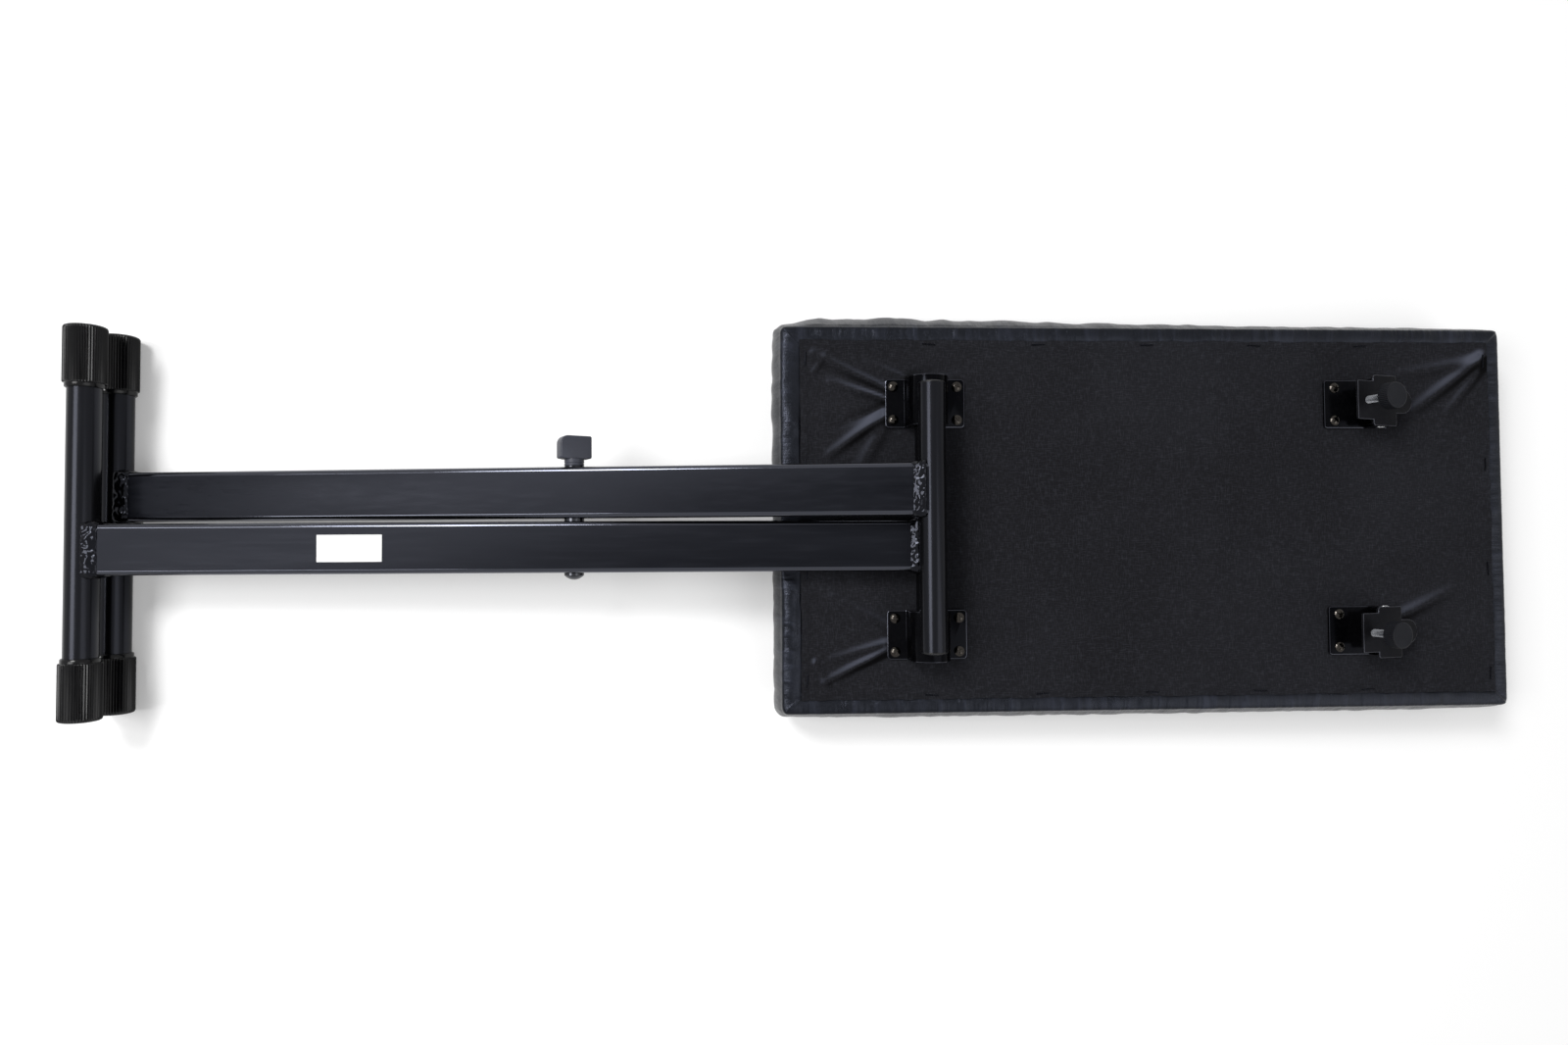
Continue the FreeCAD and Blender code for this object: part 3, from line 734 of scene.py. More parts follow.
def soften(bm: bmesh.types.BMesh, edge: float, steps: int = 2) -> None:
    """Round every edge that is sharp.

    Args:
        bm: Mesh to change.
        edge: Radius of the round.
        steps: Steps across the round.
    """
    sharp = [e for e in bm.edges if len(e.link_faces) == 2 and e.calc_face_angle() > SHARP]
    bevel(bm, sharp, edge, steps, rim=True)


def cut_out(corners: list, rounds: dict, thickness: float, edge: float, steps: int = 2) -> bmesh.types.BMesh:
    """Plate cut to an outline in the XY plane and centred on it.

    Args:
        corners: X and Y of the outline's corners.
        rounds: Radius for the number of a corner that is round.
        thickness: Thickness along Z.
        edge: Radius of the plate's edges.
        steps: Steps across that radius.

    Returns:
        A closed mesh.
    """
    bm = bmesh.new()
    points = [bm.verts.new((x, y, -thickness / 2)) for x, y in corners]
    face = bm.faces.new(points)
    raised = only(bmesh.types.BMVert, bmesh.ops.extrude_face_region(bm, geom=[face])["geom"])
    bmesh.ops.translate(bm, verts=raised, vec=(0, 0, thickness))
    bmesh.ops.recalc_face_normals(bm, faces=bm.faces)
    for number, radius in rounds.items():
        x, y = corners[number]
        upright = [
            e for e in bm.edges
            if abs(e.verts[0].co.z - e.verts[1].co.z) > thickness / 2
            and all((v.co.xy - Vector((x, y))).length < NEAR for v in e.verts)
        ]
        bevel(bm, upright, radius, 6)
    soften(bm, edge, steps)
    return seal(bm)


def merged(parts: list) -> bmesh.types.BMesh:
    """Put several meshes into one.

    Args:
        parts: Pairs of a mesh and the matrix that places it.

    Returns:
        One mesh.
    """
    whole = bmesh.new()
    for bm, place in parts:
        flat = bpy.data.meshes.new("part")
        bm.to_mesh(flat)
        flat.transform(place)
        whole.from_mesh(flat)
        bpy.data.meshes.remove(flat)
    return whole


def ribs(bm: bmesh.types.BMesh, count: int, depth: float, zone: tuple, least: float) -> None:
    """Press grooves into the round side of a turned mesh.

    Args:
        bm: Mesh round Z, with four steps or more to a rib.
        count: Number of ribs.
        depth: Depth of a groove.
        zone: Lowest and highest height that is grooved.
        least: Radius from which points are moved.
    """
    for vert in bm.verts:
        radius = vert.co.xy.length
        if radius > least and zone[0] <= vert.co.z <= zone[1]:
            angle = math.atan2(vert.co.y, vert.co.x)
            cut = depth * (0.5 - 0.5 * math.cos(count * angle)) ** 0.8
            vert.co.xy *= 1 - cut / radius


def turned_to(side: Side) -> Matrix:
    """Matrix that lays the Z axis along Y, towards one side."""
    return Matrix.Rotation(-side.value * math.pi / 2, 4, "X")


def shift(x: float = 0.0, y: float = 0.0, z: float = 0.0) -> Matrix:
    """Matrix of a plain move."""
    return Matrix.Translation((x, y, z))


def bake(obj: bpy.types.Object) -> None:
    """Apply an object's modifiers to its mesh.

    Args:
        obj: Object to change.
    """
    ready = bpy.data.meshes.new_from_object(obj.evaluated_get(bpy.context.evaluated_depsgraph_get()))
    obj.modifiers.clear()
    obj.data = ready


def linked(name: str, data: object) -> bpy.types.Object:
    """Put a mesh, a lamp or a camera into the scene.

    Args:
        name: Name of the new object.
        data: What the object shows.

    Returns:
        The object, at the origin.
    """
    obj = bpy.data.objects.new(name, data)
    bpy.context.scene.collection.objects.link(obj)
    return obj


def loose(name: str, bm: bmesh.types.BMesh) -> bpy.types.Object:
    """Make an object in metres from a mesh in millimetres.

    Args:
        name: Name of the object.
        bm: Mesh in millimetres, which is freed.

    Returns:
        The new object, at the origin.
    """
    bmesh.ops.scale(bm, vec=(MM, MM, MM), verts=bm.verts)
    mesh = bpy.data.meshes.new(name)
    bm.to_mesh(mesh)
    bm.free()
    return linked(name, mesh)


@dataclass
class Assembly:
    """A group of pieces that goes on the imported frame."""

    frame: dict

    def body(self, node: str) -> str:
        """Body that carries a node."""
        bodies = self.frame["record"]["behaviour"]["bodies"]
        return next(name for name, nodes in bodies.items() if node in nodes)

    def slot(self, node: str) -> str:
        """Material slot of a node in the record."""
        parts = self.frame["record"]["subparts"]
        return next(part["material_slot"] for part in parts if part["node"] == node)

    def joint(self, name: str) -> Vector:
        """Place of a joint in millimetres."""
        row = next(joint for joint in self.frame["joints"] if joint["name"] == name)
        return Vector(row["pos_m"]) / MM

    def span(self, node: str) -> tuple[Vector, Vector]:
        """Lowest and highest corner of a node in millimetres."""
        low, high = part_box(node)
        return low / MM, high / MM

    def settle(
        self, obj: bpy.types.Object, finish: object, nodes: tuple, angle: float = 35.0, rim: object = None
    ) -> None:
        """Dress a piece, put it on the body of its first node and hide the nodes that it stands for.

        Args:
            obj: The finished piece.
            finish: Finish of the piece.
            nodes: Nodes that it replaces. The first one gives the body.
            angle: Angle in degrees over which an edge stays sharp.
            rim: Finish of the faces that are marked as rims.
        """
        mesh = obj.data
        mesh.polygons.foreach_set("use_smooth", [True] * len(mesh.polygons))
        mesh.set_sharp_from_angle(angle=math.radians(angle))
        if not mesh.materials:
            mesh.materials.append(Finishes.material(finish))
            mesh.materials.append(Finishes.material(rim or finish))
        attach(obj, self.body(nodes[0]))
        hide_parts(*nodes)
        self.slot(nodes[0])
        LOG.info("%s: %d faces, %s", obj.name, len(mesh.polygons), finish.name)

    def dress(self, node: str, finish: object) -> None:
        """Give a node of the frame its finish.

        Args:
            node: Name of the node.
            finish: Its finish.
        """
        mesh = self.frame["nodes"][node].data
        mesh.materials.clear()
        mesh.materials.append(Finishes.material(finish))
        LOG.info("%s: kept, %s", node, finish.name)


@dataclass
class SeatCushion(Assembly):
    """Foam cushion in leatherette, turned over the board's edge."""

    length: float = 600.0
    width: float = 311.5
    height: float = 60.0
    corner: float = 6.0
    bulge: tuple = (4.5, 5.0)
    lean: float = 7.0
    crown_run: float = 43.0
    crown_rise: float = 27.0
    cap: float = 3.0
    cell: float = 6.0
    roll: float = 1.3
    end_roll: float = 2.8
    least_corner: float = 2.5
    under_shares: tuple = (0.2, 0.5, 0.8)
    edge_rings: tuple = (
        (18.0, 0.1), (14.0, 0.1), (11.0, 0.1), (8.5, 0.1), (6.0, 0.1), (3.8, 0.1), (2.0, 0.1),
        (0.8, 0.5), (0.1, 1.5),
    )
    side_rings: int = 6
    crown_rings: int = 7
    face_shares: tuple = (0.76, 0.6, 0.42, 0.25, 0.1)
    pressure: float = 4.0
    frames: int = 20
    end_shift: float = 900.0
    roll_width: float = 13.0
    end_roll_width: float = 16.0
    tube_end: float = -200.0
    tube_half: float = 21.0
    deep_folds: tuple = (-235.0, 75.0)
    fold_band: tuple = (38.0, 17.0)
    crease_band: tuple = (54.0, 5.0)
    bold_side: tuple = (1.5, 0.25)
    lean_band: tuple = (30.0, 21.0)
    lean_fade: tuple = (-60.0, 70.0)

    def first_ring(self, bm: bmesh.types.BMesh, size: tuple, radius: float, level: float) -> list:
        """Rounded rectangle of even edges, from which the shell is drawn out.

        Args:
            bm: Mesh that gets the ring.
            size: Length and width of the ring.
            radius: Radius of its corners.
            level: Height of the ring.

        Returns:
            Edges of the ring.
        """
        bmesh.ops.create_grid(bm, x_segments=1, y_segments=1, size=0.5)
        bmesh.ops.scale(bm, vec=(*size, 1), verts=bm.verts)
        bevel(bm, bm.verts[:], radius, 6, affect="VERTICES")
        bmesh.ops.delete(bm, geom=bm.faces[:], context="FACES_ONLY")
        for axis, span in ((0, self.length), (1, self.width)):
            long = [e for e in bm.edges if abs(e.verts[0].co[axis] - e.verts[1].co[axis]) > size[axis] / 3]
            bmesh.ops.subdivide_edges(bm, edges=long, cuts=round(span / self.cell) - 1)
        bmesh.ops.translate(bm, verts=bm.verts, vec=(0, 0, level))
        return bm.edges[:]

    def next_ring(self, bm: bmesh.types.BMesh, edges: list, old: tuple, new: tuple) -> list:
        """Draw a ring out to the next one.

        Args:
            bm: Mesh that holds the ring.
            edges: Edges of the ring.
            old: Size, corner radius and height of the ring.
            new: The same of the next ring.

        Returns:
            Edges of the next ring.
        """
        drawn = bmesh.ops.extrude_edge_only(bm, edges=edges)["geom"]
        (size, radius, _), (next_size, next_radius, level) = old, new
        for vert in only(bmesh.types.BMVert, drawn):
            spot = []
            for axis in (0, 1):
                straight, reach = size[axis] / 2 - radius, next_size[axis] / 2 - next_radius
                at = abs(vert.co[axis])
                past = reach + (at - straight) * next_radius / radius
                spot.append(math.copysign(at * reach / straight if at <= straight else past, vert.co[axis]))
            vert.co = (*spot, level)
        return only(bmesh.types.BMEdge, drawn)

    def levels(self) -> list:
        """Rings of the shell, from the underside to the sitting face.

        Returns:
            Size, corner radius and height of each ring.
        """
        rows = []

        def row(out_x: float, out_y: float, level: float, share: float = 1.0) -> None:
            """Add a ring that stands out from the board, or a share of it."""
            size = (share * (self.length + 2 * out_x), share * (self.width + 2 * out_y))
            rows.append((size, share * max(self.least_corner, self.corner + 0.3 * min(out_x, out_y)), level))

        for share in self.under_shares:
            row(0.0, 0.0, self.height - 0.3, share)
        for inset, down in self.edge_rings:
            row(-inset, -inset, self.height - down)
        top = self.height - 3.0
        for step in range(self.side_rings):
            share = step / (self.side_rings - 1)
            out = math.sin(share * math.pi / 2) ** 0.85
            row(self.bulge[0] * out, self.bulge[1] * out, top - (top - self.crown_rise) * share)
        for step in range(1, self.crown_rings + 1):
            angle = step / self.crown_rings * math.pi / 2
            run = self.crown_run * (1 - math.cos(angle))
            row(self.bulge[0] - run, self.bulge[1] - run, self.crown_rise * (1 - math.sin(angle)))
        for share in self.face_shares:
            row(0.0, 0.0, 0.0, share)
        return rows

    def points(self, mesh: bpy.types.Mesh) -> np.ndarray:
        """Points of a mesh as numbers.

        Args:
            mesh: The mesh.

        Returns:
            X, Y and Z of each point in a row.
        """
        flat = np.empty(len(mesh.vertices) * 3, np.float32)
        mesh.vertices.foreach_get("co", flat)
        return flat.reshape(-1, 3)

    def shell(self) -> bpy.types.Object:
        """Closed cushion before it swells.

        Returns:
            The object, in metres.
        """
        bm = bmesh.new()
        rows = self.levels()
        edges = self.first_ring(bm, *rows[0])
        for old, new in zip(rows, rows[1:]):
            edges = self.next_ring(bm, edges, old, new)
        bmesh.ops.holes_fill(bm, edges=bm.edges[:], sides=0)
        bmesh.ops.triangulate(bm, faces=[f for f in bm.faces if len(f.verts) > 4], ngon_method="BEAUTY")
        return loose("seat_cushion", seal(bm))

    def swell(self, obj: bpy.types.Object) -> None:
        """Blow the cushion up as cloth under pressure, with its two flat faces held.

        Args:
            obj: The even shell.
        """
        before = self.points(obj.data)
        held = obj.vertex_groups.new(name="held")
        still = (before[:, 2] > (self.height - 4.0) * MM) | (before[:, 2] < MM)
        held.add([int(i) for i in np.nonzero(still)[0]], 1.0, "REPLACE")
        cloth = obj.modifiers.new("swell", "CLOTH")
        cloth.settings.use_pressure = True
        cloth.settings.uniform_pressure_force = self.pressure
        cloth.settings.effector_weights.gravity = 0.0
        cloth.settings.vertex_group_mass = "held"
        cloth.settings.quality = 4
        cloth.point_cache.frame_start = 1
        cloth.point_cache.frame_end = self.frames
        for frame in range(1, self.frames + 1):
            bpy.context.scene.frame_set(frame)
        bake(obj)
        bpy.context.scene.frame_set(1)
        move = self.points(obj.data) - before
        reach = np.linalg.norm(move, axis=1, keepdims=True)
        move *= np.minimum(1.0, self.cap * MM / np.maximum(reach, 1e-9))
        LOG.info("cushion swells by %.2f mm at most", float(reach.max()) / MM)
        obj.data.vertices.foreach_set("co", (before + move).ravel())
        obj.vertex_groups.clear()

    def rolled(self, x: float, y: float, z: float) -> float:
        """Height that the turned leather adds on the underside.

        Args:
            x: Place along X.
            y: Place along Y.
            z: Height of the point.

        Returns:
            The added height in millimetres.
        """
        from_x, from_y = self.length / 2 - abs(x), self.width / 2 - abs(y)
        inside = min(from_x, from_y)
        if z < self.height - 2.5 or inside < -1.0 or inside > 16.0:
            return 0.0
        along = x if from_y < from_x else y + self.end_shift
        at_hinge = x < 0.0 and from_x < from_y
        bold, wide = (self.end_roll, self.end_roll_width) if at_hinge else (self.roll, self.roll_width)
        # A roll with uneven edges, ripples across it and a ridge at the corner's mitre
        puff = bold * math.sin(math.pi * within(inside / wide)) ** 0.8
        puff *= 0.8 + 0.45 * uneven(along / 14.0, 4.4, inside / 20.0)
        ripple = 0.55 * uneven(along / 6.5, 1.3, inside / 16.0) * min(1.0, inside / 4.0 + 0.3)
        gap = from_x - from_y
        mitre = 1.1 / (1 + math.exp(-gap / 0.8)) * hump(gap, 0.0, 13.0) * within((inside + 1.0) / 3.0)
        rise = puff + ripple + mitre
        # Leg A's tube lies over the hinge end and leaves no room for the roll
        if x < self.tube_end:
            rise *= within((abs(y - TUBE_LINE) - self.tube_half) / 12.0, 0.12)
        return rise

    def pucker(self, obj: bpy.types.Object) -> None:
        """Fold the corners, ripple the sides and press the crown on the floor.

        Args:
            obj: The swollen cushion.
        """
        half_x, half_y = self.length / 2, self.width / 2
        for vert in obj.data.vertices:
            x, y, z = (part / MM for part in vert.co)
            over_x, over_y = abs(x) - half_x, abs(y) - half_y
            out = max(over_x, over_y)
            along = x if over_y > over_x else y + self.end_shift
            deeper, front = self.bold_side
            strength = 1.0 + deeper * hump(x, *self.deep_folds) * (1.0 if y > 0 else front)
            band = hump(z, *self.fold_band) * within((out + 4.0) / 5.0)
            wave = uneven(along / 20.0, 3.1, z / 90.0) + 0.3 * uneven(along / 8.0, 7.7, z / 40.0)
            crease = 0.5 * uneven(along / 11.0, 5.0, z / 30.0) * hump(z, *self.crease_band)
            push = 1.25 * strength * wave * band + (crease if out > -2.0 else 0.0)
            # The rear side leans out towards the hinge end
            if y > half_y and over_y > over_x:
                fade = within((half_x - abs(x)) / 25.0)
                place, run = self.lean_fade
                push += self.lean * fade * hump(z, *self.lean_band) / (1 + math.exp((x - place) / run))
            if over_y > over_x:
                y += math.copysign(push, y)
            else:
                x += math.copysign(push, x)
            z += self.rolled(x, y, z)
            # What the dust cover hides stays below it
            room_x = half_x - (self.end_roll_width if x < 0 else self.roll_width) + 0.5
            if abs(x) < room_x and abs(y) < half_y - 12.0 and z > self.height / 2:
                z = min(z, self.height - 0.1)
            vert.co = Vector((x, y, max(z, 0.0))) * MM

    def build(self) -> None:
        obj = self.shell()
        self.swell(obj)
        finer = obj.modifiers.new("finer", "SUBSURF")
        finer.levels = finer.render_levels = 1
        bake(obj)
        self.pucker(obj)
        self.settle(obj, Finishes.LEATHER, ("seat_cover", "seat_foam"), 180.0)
        self.dress("seat_board", Finishes.WOOD)


@dataclass(frozen=True)
class Crease:
    """A ridge or furrow pulled into the dust cover, from one point to another."""

    start: tuple
    end: tuple
    height: float
    width: float
    boldness: float = 1.8
    taper: float = 0.7
    reach: float = 3.0

    def lift(self, x: float, y: float) -> float:
        """Height of the crease at one place.

        Args:
            x: Place along X.
            y: Place along Y.

        Returns:
            Height in millimetres.
        """
        run, rise = self.end[0] - self.start[0], self.end[1] - self.start[1]
        over, up = x - self.start[0], y - self.start[1]
        share = within((over * run + up * rise) / (run * run + rise * rise))
        gap = math.hypot(over - run * share, up - rise * share) / self.width
        if gap > self.reach:
            return 0.0
        return self.boldness * self.height * math.exp(-gap * gap) * (1 - self.taper * share)


@dataclass
class DustCover(Assembly):
    """Thin woven cover stapled over the underside, with a turned hem."""

    length: float = 577.0
    width: float = 289.0
    level: float = 60.45
    cell: float = 2.2
    thickness: float = 0.3
    hem: float = 8.0
    drawn: float = 4.0
    staple_margin: float = 3.5
    hinge_staple_margin: float = 9.0
    staple_pitch_x: float = 90.0
    staple_pitch_y: float = 86.0
    crown: float = 11.0
    wire: float = 1.2
    crown_lift: float = 0.55
    hem_rise: float = 0.55
    end_shift: float = 700.0
    bracket_x: tuple = (-183.65, 173.8)
    bracket_half: tuple = (36.0, 23.0)
    bracket_fade: float = 8.0
    staple_pull: float = 0.97
    staple_reach: float = 7.0
    tube_end: float = -200.0
    tube_half: float = 20.0
    tube_tilt: float = 0.0355
    edge_band: float = 14.0
    drawn_from: float = 240.0
    creases: tuple = (
        Crease((-215.0, 105.0), (-276.0, 134.0), 2.2, 3.4),
        Crease((-215.0, 100.0), (-268.0, 121.0), -1.2, 3.0),
        Crease((-215.0, 97.0), (-262.0, 110.0), 1.7, 3.4),
        Crease((-215.0, 84.0), (-262.0, 52.0), 2.1, 4.2),
        Crease((-215.0, 90.0), (-258.0, 74.0), -1.0, 3.6),
        Crease((-215.0, 78.0), (-246.0, 22.0), 1.3, 6.0),
        Crease((-192.0, 114.0), (-150.0, 124.0), -0.9, 5.0),
        Crease((-200.0, 114.0), (-230.0, 126.0), 1.2, 3.0),
        Crease((-215.0, -105.0), (-268.0, -130.0), 1.9, 3.4),
        Crease((-215.0, -99.0), (-262.0, -112.0), 1.3, 3.4),
        Crease((-215.0, -86.0), (-260.0, -62.0), 1.6, 4.2),
        Crease((-212.0, -76.0), (-240.0, -48.0), 1.1, 5.0),
        Crease((284.0, 132.0), (222.0, 86.0), 2.2, 5.0),
        Crease((284.0, 130.0), (206.0, 116.0), 1.3, 5.0),
        Crease((284.0, 124.0), (252.0, 84.0), 1.2, 4.0),
        Crease((204.0, -84.0), (254.0, -60.0), 1.6, 5.0),
        Crease((204.0, 84.0), (244.0, 58.0), 1.2, 5.0),
        Crease((60.0, -72.0), (128.0, -90.0), 0.5, 6.0),
        Crease((-276.0, -114.0), (-264.0, -134.0), 1.0, 2.6),
        Crease((-276.0, 118.0), (-262.0, 136.0), 0.5, 2.6),
        Crease((-20.0, 30.0), (-90.0, -60.0), 0.4, 16.0),
    )

    def staple_places(self) -> list:
        """Places of the staples.

        Returns:
            X and Y of each staple and whether its crown lies along X.
        """
        ends = (self.hinge_staple_margin - self.length / 2, self.length / 2 - self.staple_margin)
        y_edge = self.width / 2 - self.staple_margin
        rows = [(i * self.staple_pitch_x, end * y_edge, True) for i in range(-2, 3) for end in (-1, 1)]
        rows += [(end, (i - 1.5) * self.staple_pitch_y, False) for i in range(4) for end in ends]
        return rows

    def nearest(self, x: float, y: float) -> float:
        """Distance from a place to the nearest staple.

        Args:
            x: Place along X.
            y: Place along Y.

        Returns:
            The distance to its crown in millimetres.
        """
        gaps = []
        for sx, sy, along in self.staple_places():
            dx, dy = abs(x - sx), abs(y - sy)
            run, side = (dx, dy) if along else (dy, dx)
            gaps.append(math.hypot(max(0.0, run - self.crown / 2), side))
        return min(gaps)

    def lift(self, x: float, y: float) -> float:
        """Height of the cloth over its flat level.

        Args:
            x: Place along X.
            y: Place along Y.

        Returns:
            Height in millimetres.
        """
        inset = min(self.length / 2 - abs(x), self.width / 2 - abs(y))
        # Creases, slow waves, and puckers and a hem along the edge
        rise = sum(crease.lift(x, y) for crease in self.creases)
        rise += 0.7 * uneven(x / 70.0, y / 55.0, 2.0) + 0.3 * uneven(x / 24.0, y / 31.0, 6.0)
        along = x if self.width / 2 - abs(y) < self.length / 2 - abs(x) else y + self.end_shift
        rise += 0.8 * uneven(along / 15.0, inset / 30.0, 9.0) * math.exp(-inset / 13.0)
        rise += self.hem_rise if inset < self.hem else 0.0
        rise += 0.8 * hump(inset, 0.0, 10.0)
        # The brackets and the staples hold the cloth down, and so does leg A's tube
        for bracket in self.bracket_x:
            across = abs(abs(y) - BRACKET_SPREAD / 2) - self.bracket_half[1]
            gap = max(abs(x - bracket) - self.bracket_half[0], across, 0.0)
            rise *= min(1.0, gap / self.bracket_fade)
        rise *= 1 - self.staple_pull * hump(self.nearest(x, y), 0.0, self.staple_reach)
        beside = abs(y - TUBE_LINE) - self.tube_half
        if x < self.tube_end and beside < 10.0:
            room = 0.25 + max(0.0, (x + 288.0) * self.tube_tilt) + max(0.0, beside) * 0.3
            rise = min(rise, room)
        return max(rise, -0.1 if inset < 24.0 else -0.5)

    def slope(self, x: float, y: float) -> float:
        """How steeply the creases rise away from the far left corner, which sets their painted light and
        shade.

        Args:
            x: Place along X.
            y: Place along Y.

        Returns:
            Rise over a run of one millimetre along X and one back along Y.
        """
        high = sum(crease.lift(x + 1.0, y - 1.0) for crease in self.creases)
        low = sum(crease.lift(x - 1.0, y + 1.0) for crease in self.creases)
        return (high - low) / 2

    def cloth(self) -> None:
        """Make the sheet."""
        bm = bmesh.new()
        cells = (round(self.length / self.cell), round(self.width / self.cell))
        bmesh.ops.create_grid(bm, x_segments=cells[0], y_segments=cells[1], size=0.5)
        bmesh.ops.scale(bm, vec=(self.length, self.width, 1), verts=bm.verts)
        nap = bm.verts.layers.float.new("nap")
        for vert in bm.verts:
            x, y = vert.co.xy
            # Painted light and shade: each point keeps the creases' slope towards the key lamp for the
            # cloth's colour
            vert[nap] = self.slope(x, y)
            edge_x, edge_y = self.length / 2 - abs(x), self.width / 2 - abs(y)
            level = self.level + self.lift(x, y)
            if min(edge_x, edge_y) < self.edge_band:
                pull = 1.1 * uneven(x / 21.0, y / 21.0, 5.0)
                pull += 1.3 * (1 - min(1.0, self.nearest(x, y) / 24.0)) - 0.6
                y -= math.copysign(pull * max(0.0, 1 - edge_y / self.edge_band), y)
                x -= math.copysign(pull * max(0.0, 1 - edge_x / self.edge_band), x)
            x += self.drawn * max(0.0, -x - self.drawn_from) / (self.length / 2 - self.drawn_from)
            vert.co = (x, y, level)
        obj = loose("woven_dust_cover", bm)
        thick = obj.modifiers.new("cloth", "SOLIDIFY")
        thick.thickness = self.thickness * MM
        thick.offset = 0.0
        bake(obj)
        self.settle(obj, Finishes.CLOTH, ("dust_cover",), 70.0)

    def staples(self) -> None:
        """Make the crowns of the staples."""
        parts = []
        wire = rounded_box((self.crown, self.wire, self.wire * 0.6), 0.35, 0.2, 2)
        for x, y, along in self.staple_places():
            sway = 0.07 * math.sin(x * 1.7 + y)
            turn = Matrix.Rotation(sway + (0 if along else math.pi / 2), 4, "Z")
            parts.append((wire, shift(x, y, self.level + self.crown_lift) @ turn))
        self.settle(loose("staple_crowns", merged(parts)), Finishes.STAPLE, ("dust_cover_staples",))

    def build(self) -> None:
        """Make the cover and its staples."""
        self.cloth()
        self.staples()


@dataclass
class PanHeadScrews(Assembly):
    """Screws with a domed head and a cross recess."""

    radius: float = 4.0
    height: float = 2.4
    rim: float = 0.9
    recess_width: float = 0.95
    recess_span: float = 4.6
    recess_depth: float = 1.3
    spread_x: float = 51.6
    spread_y: float = 26.8

    def head(self) -> bmesh.types.BMesh:
        """One head on the level 0, with its recess.

        Returns:
            The mesh, in millimetres.
        """
        dome = lathe([(0, 0), (self.radius, 0)] + arc(self.radius, self.height - self.rim, 8, self.rim), 40)
        span, width, depth = self.recess_span, self.recess_width, 2 * self.recess_depth
        sizes = ((span, width, depth), (width, span, depth + 0.2))
        cross = merged([(rounded_box(size), Matrix.Identity(4)) for size in sizes])
        body, cutter = loose("screw_head", dome), loose("screw_cross", cross)
        cutter.location.z = self.height * MM
        cut = body.modifiers.new("recess", "BOOLEAN")
        cut.object = cutter
        cut.use_self = True
        bpy.context.view_layer.update()
        bake(body)
        bm = bmesh.new()
        bm.from_mesh(body.data)
        bmesh.ops.scale(bm, vec=(1 / MM,) * 3, verts=bm.verts)
        for obj in (body, cutter):
            bpy.data.objects.remove(obj)
        return bm

    def build(self, hinge: Vector, seats: tuple) -> None:
        """Set the screws of the saddles and of the clamp bases.

        Args:
            hinge: Axis of the saddles.
            seats: Levels of the saddle flanges and of the clamp bases.
        """
        head = self.head()
        places = {"hinge_saddle_screws": [], "clamp_base_screws": []}
        # Each head is turned by an angle of its own, as screws come to rest
        for number, side in enumerate(Side):
            for up in (-1, 1):
                y = side.value * BRACKET_SPREAD / 2 + up * self.spread_y / 2
                for along in (-1, 1):
                    turn = Matrix.Rotation(0.5 + 1.9 * along + up + number, 4, "Z")
                    x = hinge.x + along * self.spread_x / 2
                    places["hinge_saddle_screws"].append((head, shift(x, y, seats[0]) @ turn))
                turn = Matrix.Rotation(0.3 + 0.9 * up + 1.3 * number, 4, "Z")
                places["clamp_base_screws"].append((head, shift(CLAMP_LINE, y, seats[1]) @ turn))
        for node, parts in places.items():
            obj = loose(node.replace("screws", "screw_heads"), merged(parts))
            self.settle(obj, Finishes.SCREW, (node,), 30.0)


@dataclass
class HingeSaddle(Assembly):
    """Strap bent over the hinge bar, with a flange on each side."""

    thickness: float = 2.4
    radius: float = 15.8
    bend: float = 1.6
    softening: float = 0.45
    length: float = 64.0
    width: float = 39.0
    corner: float = 3.0

    def build(self, side: Side, centre: Vector) -> None:
        """Make one saddle.

        Args:
            side: Side of the bench.
            centre: Middle of the saddle on the hinge's axis.
        """
        end, foot = self.length / 2, BRACKET_LEVEL + self.thickness
        radius, top = self.radius, centre.z + self.radius
        path = [(-end, foot), (-radius, foot), (-radius, top), (radius, top), (radius, foot), (end, foot)]
        bm = bmesh.new()
        points = [bm.verts.new((x, -self.width / 2, z)) for x, z in path]
        lines = [bm.edges.new(pair) for pair in zip(points, points[1:])]
        far = only(bmesh.types.BMVert, bmesh.ops.extrude_edge_only(bm, edges=lines)["geom"])
        bmesh.ops.translate(bm, verts=far, vec=(0, self.width, 0))
        for number, size, steps in ((1, self.bend, 4), (4, self.bend, 4), (2, radius, 12), (3, radius, 12)):
            x, z = path[number]
            ridge = [
                e for e in bm.edges
                if all(abs(v.co.x - x) < NEAR and abs(v.co.z - z) < NEAR for v in e.verts)
            ]
            bevel(bm, ridge, size, steps)
        bevel(bm, [v for v in bm.verts if abs(abs(v.co.x) - end) < NEAR], self.corner, 4, affect="VERTICES")
        bmesh.ops.remove_doubles(bm, verts=bm.verts, dist=NEAR)
        for face in bm.faces:
            sideways = face.normal.x * face.calc_center_median().x
            if (face.normal.z if abs(face.normal.z) > 0.2 else sideways) < 0:
                face.normal_flip()
        bmesh.ops.translate(bm, verts=bm.verts, vec=(centre.x, centre.y, 0))
        obj = loose(f"strap_saddle_{side.word}", bm)
        for finish in (Finishes.BRACKET, Finishes.BRACKET_EDGE):
            obj.data.materials.append(Finishes.material(finish))
        thick = obj.modifiers.new("strip", "SOLIDIFY")
        thick.thickness = self.thickness * MM
        thick.offset = -1.0
        thick.use_even_offset = True
        edge = obj.modifiers.new("edge", "BEVEL")
        edge.width = self.softening * MM
        edge.segments = 2
        edge.limit_method = "ANGLE"
        edge.angle_limit = math.radians(50)
        edge.material = 1
        bake(obj)
        self.settle(obj, Finishes.BRACKET, (f"hinge_saddle_{side.word}",))
        self.dress(f"hinge_bush_{side.word}", Finishes.NYLON)


